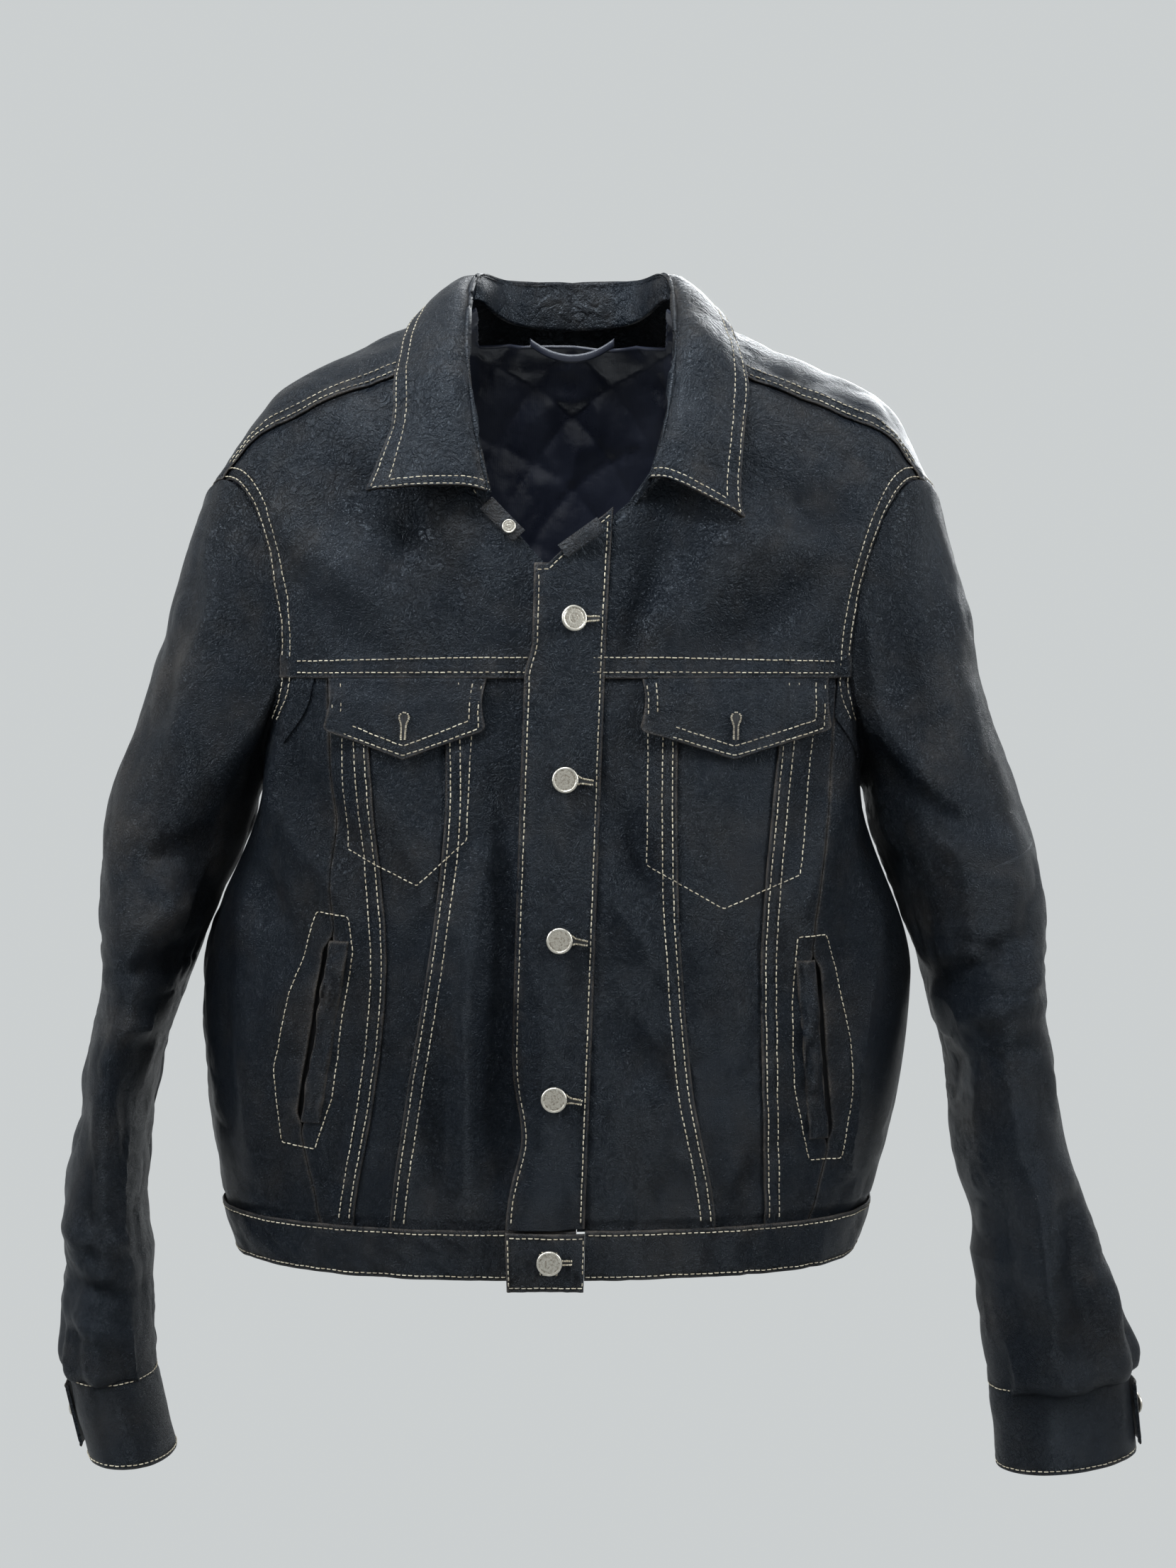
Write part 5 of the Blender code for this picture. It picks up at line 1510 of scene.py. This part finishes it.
def collar():
    spots, u, flat, points, normal, wear = collar_grid()
    first = int(np.argmin(np.abs(spots + 2)))
    last = int(np.argmin(np.abs(spots - 2)))
    spans = (("collar_leaf_right", 0, first), ("collar_back", first, last),
             ("collar_leaf_left", last, len(spots) - 1))
    cut = int(np.searchsorted(-u[:, 0], 0.22))
    for name, a, b in spans:
        own = np.s_[:, a:b + 1]
        if name == "collar_back":
            item = shell(name, points[own], wear[own], flat[own], MATERIALS["leather"],
                         COLLAR_THICK)
            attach(item, "shell")
        else:
            side = name[12:]
            outer, inner = np.s_[:cut + 1, a:b + 1], np.s_[cut:, a:b + 1]
            item = shell(name, points[outer], wear[outer], flat[outer],
                         MATERIALS["leather"], COLLAR_THICK)
            stand = shell("collar_stand_" + side, points[inner], wear[inner], flat[inner],
                          MATERIALS["leather"], FOLDED)
            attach(stand, "shell")
            hang(item)
        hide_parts(name)

    levels = -u[:, 0]

    def along_edge(body, columns, level):
        path, out = (np.array([[np.interp(level, levels, field[:, j, k]) for k in range(3)]
                               for j in columns]) for field in (points, normal))
        sew(body, path, unit(out))

    def along_tip(body, spot, level):
        rows = [i for i in range(len(u)) if level < levels[i] < 0.05]
        path, out = (np.array([[np.interp(spot, spots, field[i, :, k]) for k in range(3)]
                               for i in rows]) for field in (points, normal))
        sew(body, path, unit(out))
    for inset in COLLAR_ROWS:
        level = -(1 - inset / COLLAR_FALL)
        tip = 5 - inset / PLACE_LENGTH
        reach = [j for j in range(len(spots)) if abs(spots[j]) < tip]
        along_edge("leaf_right", [j for j in reach if j <= first], level)
        along_edge("shell", [j for j in reach if first <= j <= last], level)
        along_edge("leaf_left", [j for j in reach if j >= last], level)
        for side, sign in SIDES:
            along_tip("leaf_" + side, sign * tip, level)


# ---- buttons -------------------------------------------------------------------------
WHEEL = np.radians(np.arange(64) * 5.625)
FRONT_BUTTON = 0.0087, 0.0024       # radius and thickness
CHEST_BUTTON = 0.0075, 0.0018
CUFF_BUTTON = 0.0078, 0.0020
COLLAR_BUTTON = 0.0046, 0.0012
EYE = 0.16                  # where the wide eye of a buttonhole lies along it
WHIP_PITCH = 0.0011         # stitch to stitch round a buttonhole


def turned(name, outline, base, axis, body):
    """A turned metal piece from (radius, height, wear) steps, with a stamped rim."""
    axis = unit(np.asarray(axis, float))
    side = unit(np.cross(axis, (0.0, 0.31, 0.95)))
    other = np.cross(axis, side)
    outline = np.array(outline, float)
    steps = []
    for (r0, h0, w0), (r1, h1, w1) in zip(outline, outline[1:]):
        count = max(1, int(math.hypot(r1 - r0, h1 - h0) / 0.0004))
        for k in range(count):
            steps.append((mix(r0, r1, k / count), mix(h0, h1, k / count),
                          mix(w0, w1, k / count)))
    steps.append(tuple(outline[-1]))
    steps = np.array(steps)
    radius, height, worn = steps[:, 0], steps[:, 1], steps[:, 2]
    rings = (base + axis * height[:, None, None]
             + (side * np.cos(WHEEL)[:, None] + other * np.sin(WHEEL)[:, None])
             * radius[:, None, None])
    count = len(WHEEL)
    faces = grid_faces(len(steps), count, True).reshape(-1, 4)
    points = rings.reshape(-1, 3)
    ends = np.array((np.arange(count)[::-1], np.arange(count) + count * (len(steps) - 1)))
    item = new_object(name, points, [faces, ends], MATERIALS["nickel"],
                      {"wear": np.repeat(worn, count), "rest": points})
    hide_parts(name)
    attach(item, body)


def button(name, base, axis, shank, radius, thickness, body):
    top = shank + thickness
    rim = thickness * 0.32
    outline = [(0.0002, top - rim * 0.55, 0.2), (radius * 0.30, top - rim * 0.55, 0.3),
               (radius * 0.36, top - rim * 0.80, 0.1),
               (radius * 0.42, top - rim * 0.55, 0.5),
               (radius * 0.70, top - rim * 0.62, 0.3),
               (radius * 0.76, top - rim * 0.9, 0.0),
               (radius * 0.82, top - rim * 0.30, 0.5), (radius * 0.88, top, 1.0),
               (radius * 0.95, top - rim * 0.25, 1.0), (radius, top - rim * 1.1, 0.7),
               (radius * 0.985, top - thickness * 0.8, 0.3), (radius * 0.90, shank, 0.0),
               (0.0022, shank, 0.0), (0.0018, shank * 0.6, 0.0), (0.0018, 0.0, 0.0),
               (0.0002, 0.0, 0.0)]
    turned(name, outline[::-1], base, axis, body)


def buttonhole(name, body, angle, level, lift, ahead, up, length, width):
    """A keyhole slit of painted shade, a dark sheet laid on the placket, with whipped cream
    edges; ahead and up are girth steps.
    """
    count = 44
    u = np.linspace(0, 1, count)
    half = width * (0.30 + 0.70 * np.exp(-((u - EYE) / 0.20) ** 2))
    half = half * np.sqrt(np.clip(1 - (2 * u - 1) ** 8, 0, 1))
    run = np.concatenate((u, u[::-1]))
    edge = np.concatenate((half, -half[::-1]))
    along = (run - EYE) * length

    def place(a, b, raised):
        scale = np.linalg.norm(surface(angle + 0.5, level) - surface(angle - 0.5, level))
        rise = np.linalg.norm(surface(angle, level + 0.01) - surface(angle, level - 0.01))
        turn = angle + (a * ahead[0] + b * up[0]) / scale
        high = level + (a * ahead[1] + b * up[1]) * 0.02 / rise
        return leather(turn, high, lift + raised)[:2]
    points, _ = place(along[:, None] * np.ones(2), edge[:, None] * np.array((1, 0.02)),
                      0.00035)
    total = 2 * count
    faces = np.array([(k, (k + 1) % total, total + (k + 1) % total, total + k)
                      for k in range(total)])
    both = np.concatenate((points[:, 0], points[:, 1]))
    # the slit sheet is painted shade standing for the shadow inside the hole
    item = new_object(name, both, [faces], MATERIALS["dark"],
                      {"wear": np.zeros(2 * total), "rest": both})
    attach(item, body)
    line = np.linspace(0, 1, 4)[:, None]
    for sign in (1, -1):
        for distance in np.arange(0.0, length * 0.98, WHIP_PITCH):
            t = distance / length
            wide = np.interp(t, u, half)
            ends_a = np.array((t - EYE, t - EYE)) * length
            ends_b = sign * np.array((wide - 0.0001, wide + 0.0013))
            path, normals = place(ends_a, ends_b, 0.00045)
            sew(body, mix(path[0], path[1], line), np.repeat(normals[:1], 4, 0),
                pitch=WHIP_PITCH, length=0.00125, radius=0.00050)


def front_buttons():
    for i in range(4):
        level = BUTTON_TOP_Z - i * BUTTON_PITCH - YOKE_Z
        angle = float(angle_at(BUTTON_SHIFT, min(level, 0.0))) * -1
        if level > 0:
            level = math.degrees(math.asin(level / (0.026 - YOKE_Z))) / 90
        spot = leather(angle, level, 0.0004)[0]
        axis = surface_normal(angle, level)
        if i == 0:
            axis = unit(axis + np.array((0.35, 0.0, 0.10)))
        button("front_button_%d" % (i + 1), spot, axis, 0.0052, *FRONT_BUTTON, "shell")
        hole_angle = shifted(angle, level, 0.0060)
        lift = float(placket_lift(hole_angle, level))
        tilt = -0.16 if i else 0.05
        buttonhole("front_hole_%d" % (i + 1), "placket", hole_angle, level, lift + 0.0003,
                   (1, tilt), (-tilt, 1), 0.0150, 0.0030)
    level = -PANEL_DROP - SEAM_GAP - BAND_HEIGHT * 0.55
    angle = -float(angle_at(BUTTON_SHIFT, level))
    spot = leather(angle, level, 0.0014)[0]
    button("waist_button", spot, surface_normal(angle, level), 0.0064, *FRONT_BUTTON,
           "shell")
    buttonhole("waist_hole", "placket", angle + 1.4, level, 0.0074, (1, 0), (0, 1), 0.0150,
               0.0024)


def pocket_buttons(name, side):
    middle = (FLAP_INNER + FLAP_OUTER[name]) / 2
    level = -FLAP_TIP_DROP * 0.52
    angle = side * float(angle_at(middle, level))
    spot = leather(angle, level, 0.0004)[0]
    button("chest_button_" + name, spot, surface_normal(angle, level), 0.0010,
           *CHEST_BUTTON, "shell")
    buttonhole("chest_hole_" + name, "chest_flap_body_" + name, angle, level + 0.0020,
               0.0058, (0, -1), (1, 0), 0.0190, 0.0026)


def cuff_buttons(name, side):
    spot, out = cuff_cloth(name, side, 0.5, -16.0, 0.0004)
    button("cuff_button_" + name, spot, out, 0.0092, *CUFF_BUTTON,
           "cuff_tab_body_" + name)


# ---- inside of the jacket ------------------------------------------------------------
QUILT = 0.056               # side of a quilted diamond
LINING_LIFT = -0.0066       # the lining lies inside the plain body surface


def quilt(angles, level, distances):
    """Puffs of the padded lining between its crossing sewn lines."""
    around = distances[0] - distances[0][:, -1:] / 2
    height = distances[2]
    a = (around + height) / QUILT
    b = (around - height) / QUILT
    puff = np.abs(np.sin(np.pi * a) * np.sin(np.pi * b)) ** 0.45
    pucker = noise(np.stack((around, height, 0 * height), -1), (0.007, 0.007, 1), 3.0)
    return 0.0026 * (1 - puff) + 0.0005 * pucker * (1 - puff), 0 * puff


def linings():
    for name, side in SIDES:
        inner = inner_seam(name)
        levels = np.linspace(SHOULDER_SEAM - 0.010, -PANEL_DROP + 0.002, 150)

        def near(v):
            side_line = shifted(inner(np.minimum(v, 0)), np.minimum(v, 0), 0.004)
            return np.maximum(side_line, neck_angle(name, np.maximum(v, 0.05)) + 0.8)

        def deep(angles, level, distances):
            more, worn = quilt(angles, level, distances)
            low = smooth(-level / 0.06)
            across = np.minimum(distances[0], distances[1])
            return more - 0.0085 * low * smooth(across / 0.05), worn
        start, end = sided(side, near, lambda v: armhole_angle(v) - 0.5)
        item = panel("front_lining_" + name, start, end, levels, "shell", lift=LINING_LIFT,
                     extra=deep, material=MATERIALS["satin"], fine=(False, False),
                     thick=0.0016, replaces=["front_lining_" + name], mark=300)

        bag = panel("chest_pocket_bag_" + name, *sided(
            side, lambda v: angle_at(FLAP_INNER + 0.010, v),
            lambda v: angle_at(FLAP_OUTER[name] - 0.012, v)),
            np.linspace(-0.004, -0.140, 40), "shell", lift=-0.0052, thick=0.0008,
            material=MATERIALS["cloth"], fine=(False, False), mark=310,
            replaces=["chest_pocket_bag_" + name])

    levels = np.concatenate((np.linspace(2 + PANEL_DROP - 0.002, 2.0, 110)[:-1],
                             np.linspace(2.0, 1.02, 90)))

    def keep(middle, rows):
        points = surface(middle, rows)
        inside = (np.abs(points[..., 0] - SWAY_TOP) < NECK_HALF_WIDTH) & (
            points[..., 1] < NECK_BACK_Y - 0.001) & (rows < 1.9)
        return ~inside
    item = panel("back_lining", lambda v: 0.6 - armhole_angle(v),
                 lambda v: armhole_angle(v) - 0.6, levels, "shell", lift=LINING_LIFT,
                 extra=quilt, material=MATERIALS["satin"], fine=(False, False),
                 thick=0.0016, replaces=["back_lining"], mark=320, keep_from=keep)


def facings():
    """Turned-out strips beside the open neck, and the small button of the collar."""
    lines = {"right": (((-0.056, -0.121), (-0.0335, -0.143)), "shell", 0.0032),
             "left": (((0.021, -0.1365), (-0.004, -0.154)), "placket", 0.0078)}
    for name, side in SIDES:
        (top, end), body, lift = lines[name]
        run = np.linspace(0, 1, 16)
        across = np.linspace(-0.006, 0.005, 9)
        along = unit(np.array((end[0] - top[0], end[1] - top[1])))
        t, shift = np.meshgrid(run, across, indexing="ij")
        x = mix(top[0], end[0], t) - side * along[1] * shift
        z = mix(top[1], end[1], t) + side * along[0] * shift
        if side > 0:
            x, z = x[:, ::-1], z[:, ::-1]
        angle, level = front_spot(x, z)
        swell = 0.0010 * np.sin(np.pi * (shift + 0.006) / 0.011)
        points, _, flat = leather(angle, level, lift + swell)
        if grid_normals(points)[8, 4, 1] > 0:
            points, flat = points[:, ::-1], flat[:, ::-1]
        item = shell("neck_facing_" + name, points, 0.3 + 0 * x, flat,
                     MATERIALS["leather"], 0.0011)
        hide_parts("neck_facing_" + name)
        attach(item, body)
    angle, level = front_spot(*TACK_SPOT)
    spot = leather(angle, level, 0.0036)[0]
    button("collar_button", spot, surface_normal(angle, level), 0.0009, *COLLAR_BUTTON,
           "shell")


def hanging_loop():
    width = 0.006
    s, w = np.meshgrid(np.linspace(-1, 1, 60), np.linspace(0, width, 6))
    sag = 0.012 * (1 - s ** 2)
    points = np.stack((SWAY_TOP + s * 0.030, NECK_BACK_Y - 0.007 - sag * 0.4
                       - 0.0006 * np.sin(w / width * np.pi), 0.004 - sag - w), -1)
    item = shell("hang_loop", points, 0 * s, points, MATERIALS["satin"], 0.0012)
    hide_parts("hang_loop")
    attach(item, "loop")


# ---- camera, lights and floor --------------------------------------------------------
def soft_light(name, location, target, size, power, colour):
    data = bpy.data.lights.new(name, "AREA")
    data.shape = "RECTANGLE"
    data.size, data.size_y = size
    data.energy = power
    data.color = colour
    item = bpy.data.objects.new(name, data)
    item.location = location
    ahead = Vector(target) - Vector(location)
    item.rotation_euler = ahead.to_track_quat("-Z", "Y").to_euler()
    bpy.context.scene.collection.objects.link(item)


def studio():
    camera_data = bpy.data.cameras.new("camera")
    camera_data.lens = 52.4
    camera = bpy.data.objects.new("camera", camera_data)
    camera.location = (0.0258, -1.61, -0.2027)
    camera.rotation_euler = (math.radians(90 - 3.9), 0, 0)
    bpy.context.scene.collection.objects.link(camera)
    bpy.context.scene.camera = camera

    mesh = bpy.data.meshes.new("floor")
    mesh.from_pydata([(-2.5, -2.5, -1.55), (2.5, -2.5, -1.55), (2.5, 1.5, -1.55),
                      (-2.5, 1.5, -1.55)], [], [(0, 1, 2, 3)])
    floor = bpy.data.objects.new("floor", mesh)
    bpy.context.scene.collection.objects.link(floor)
    plain = Nodes("floor")
    plain.shader.inputs["Base Color"].default_value = (0.30, 0.305, 0.305, 1)
    plain.shader.inputs["Roughness"].default_value = 0.8
    mesh.materials.append(plain.material)

    world = bpy.data.worlds.new("studio")
    world.use_nodes = True
    background = world.node_tree.nodes["Background"]
    background.inputs["Color"].default_value = (0.60, 0.625, 0.63, 1)
    background.inputs["Strength"].default_value = 1.0
    bpy.context.scene.world = world
    bpy.context.scene.view_settings.view_transform = "Standard"
    middle = (0.02, 0.0, -0.35)
    soft_light("key", (-0.5, -1.5, 2.2), middle, (1.6, 0.5), 120, (0.88, 0.94, 1.0))
    soft_light("left", (-2.2, -0.9, 0.7), middle, (0.5, 1.6), 78, (0.88, 0.94, 1.0))
    soft_light("right", (2.3, -0.7, 0.5), middle, (0.5, 1.6), 64, (0.88, 0.94, 1.0))
    soft_light("top", (0.2, 0.3, 2.2), middle, (1.8, 0.8), 40, (0.90, 0.95, 1.0))
    soft_light("back", (0.9, 2.4, 1.0), middle, (1.8, 1.6), 80, (0.95, 0.98, 1.0))


def build():
    crossings()
    for name, side in SIDES:
        front_panels(name, side)
        front_yoke(name, side)
        flap(name, side)
        hand_pocket(name, side)
        pocket_buttons(name, side)
        sleeve(name, side)
        cuff(name, side)
        cuff_tab(name, side)
        cuff_buttons(name, side)
    back_body()
    back_yoke()
    placket()
    front_buttons()
    waistband()
    end_tab()
    collar()
    linings()
    facings()
    hanging_loop()


def hang_threads():
    """Give each row of thread to the body that its leather rides on; rows on pieces that
    cross a joint are only baked in place and given to no body.
    """
    for body, item in finish_threads().items():
        if body in CROSSINGS:
            hang(item)
        else:
            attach(item, body)


build()
hang_threads()
studio()
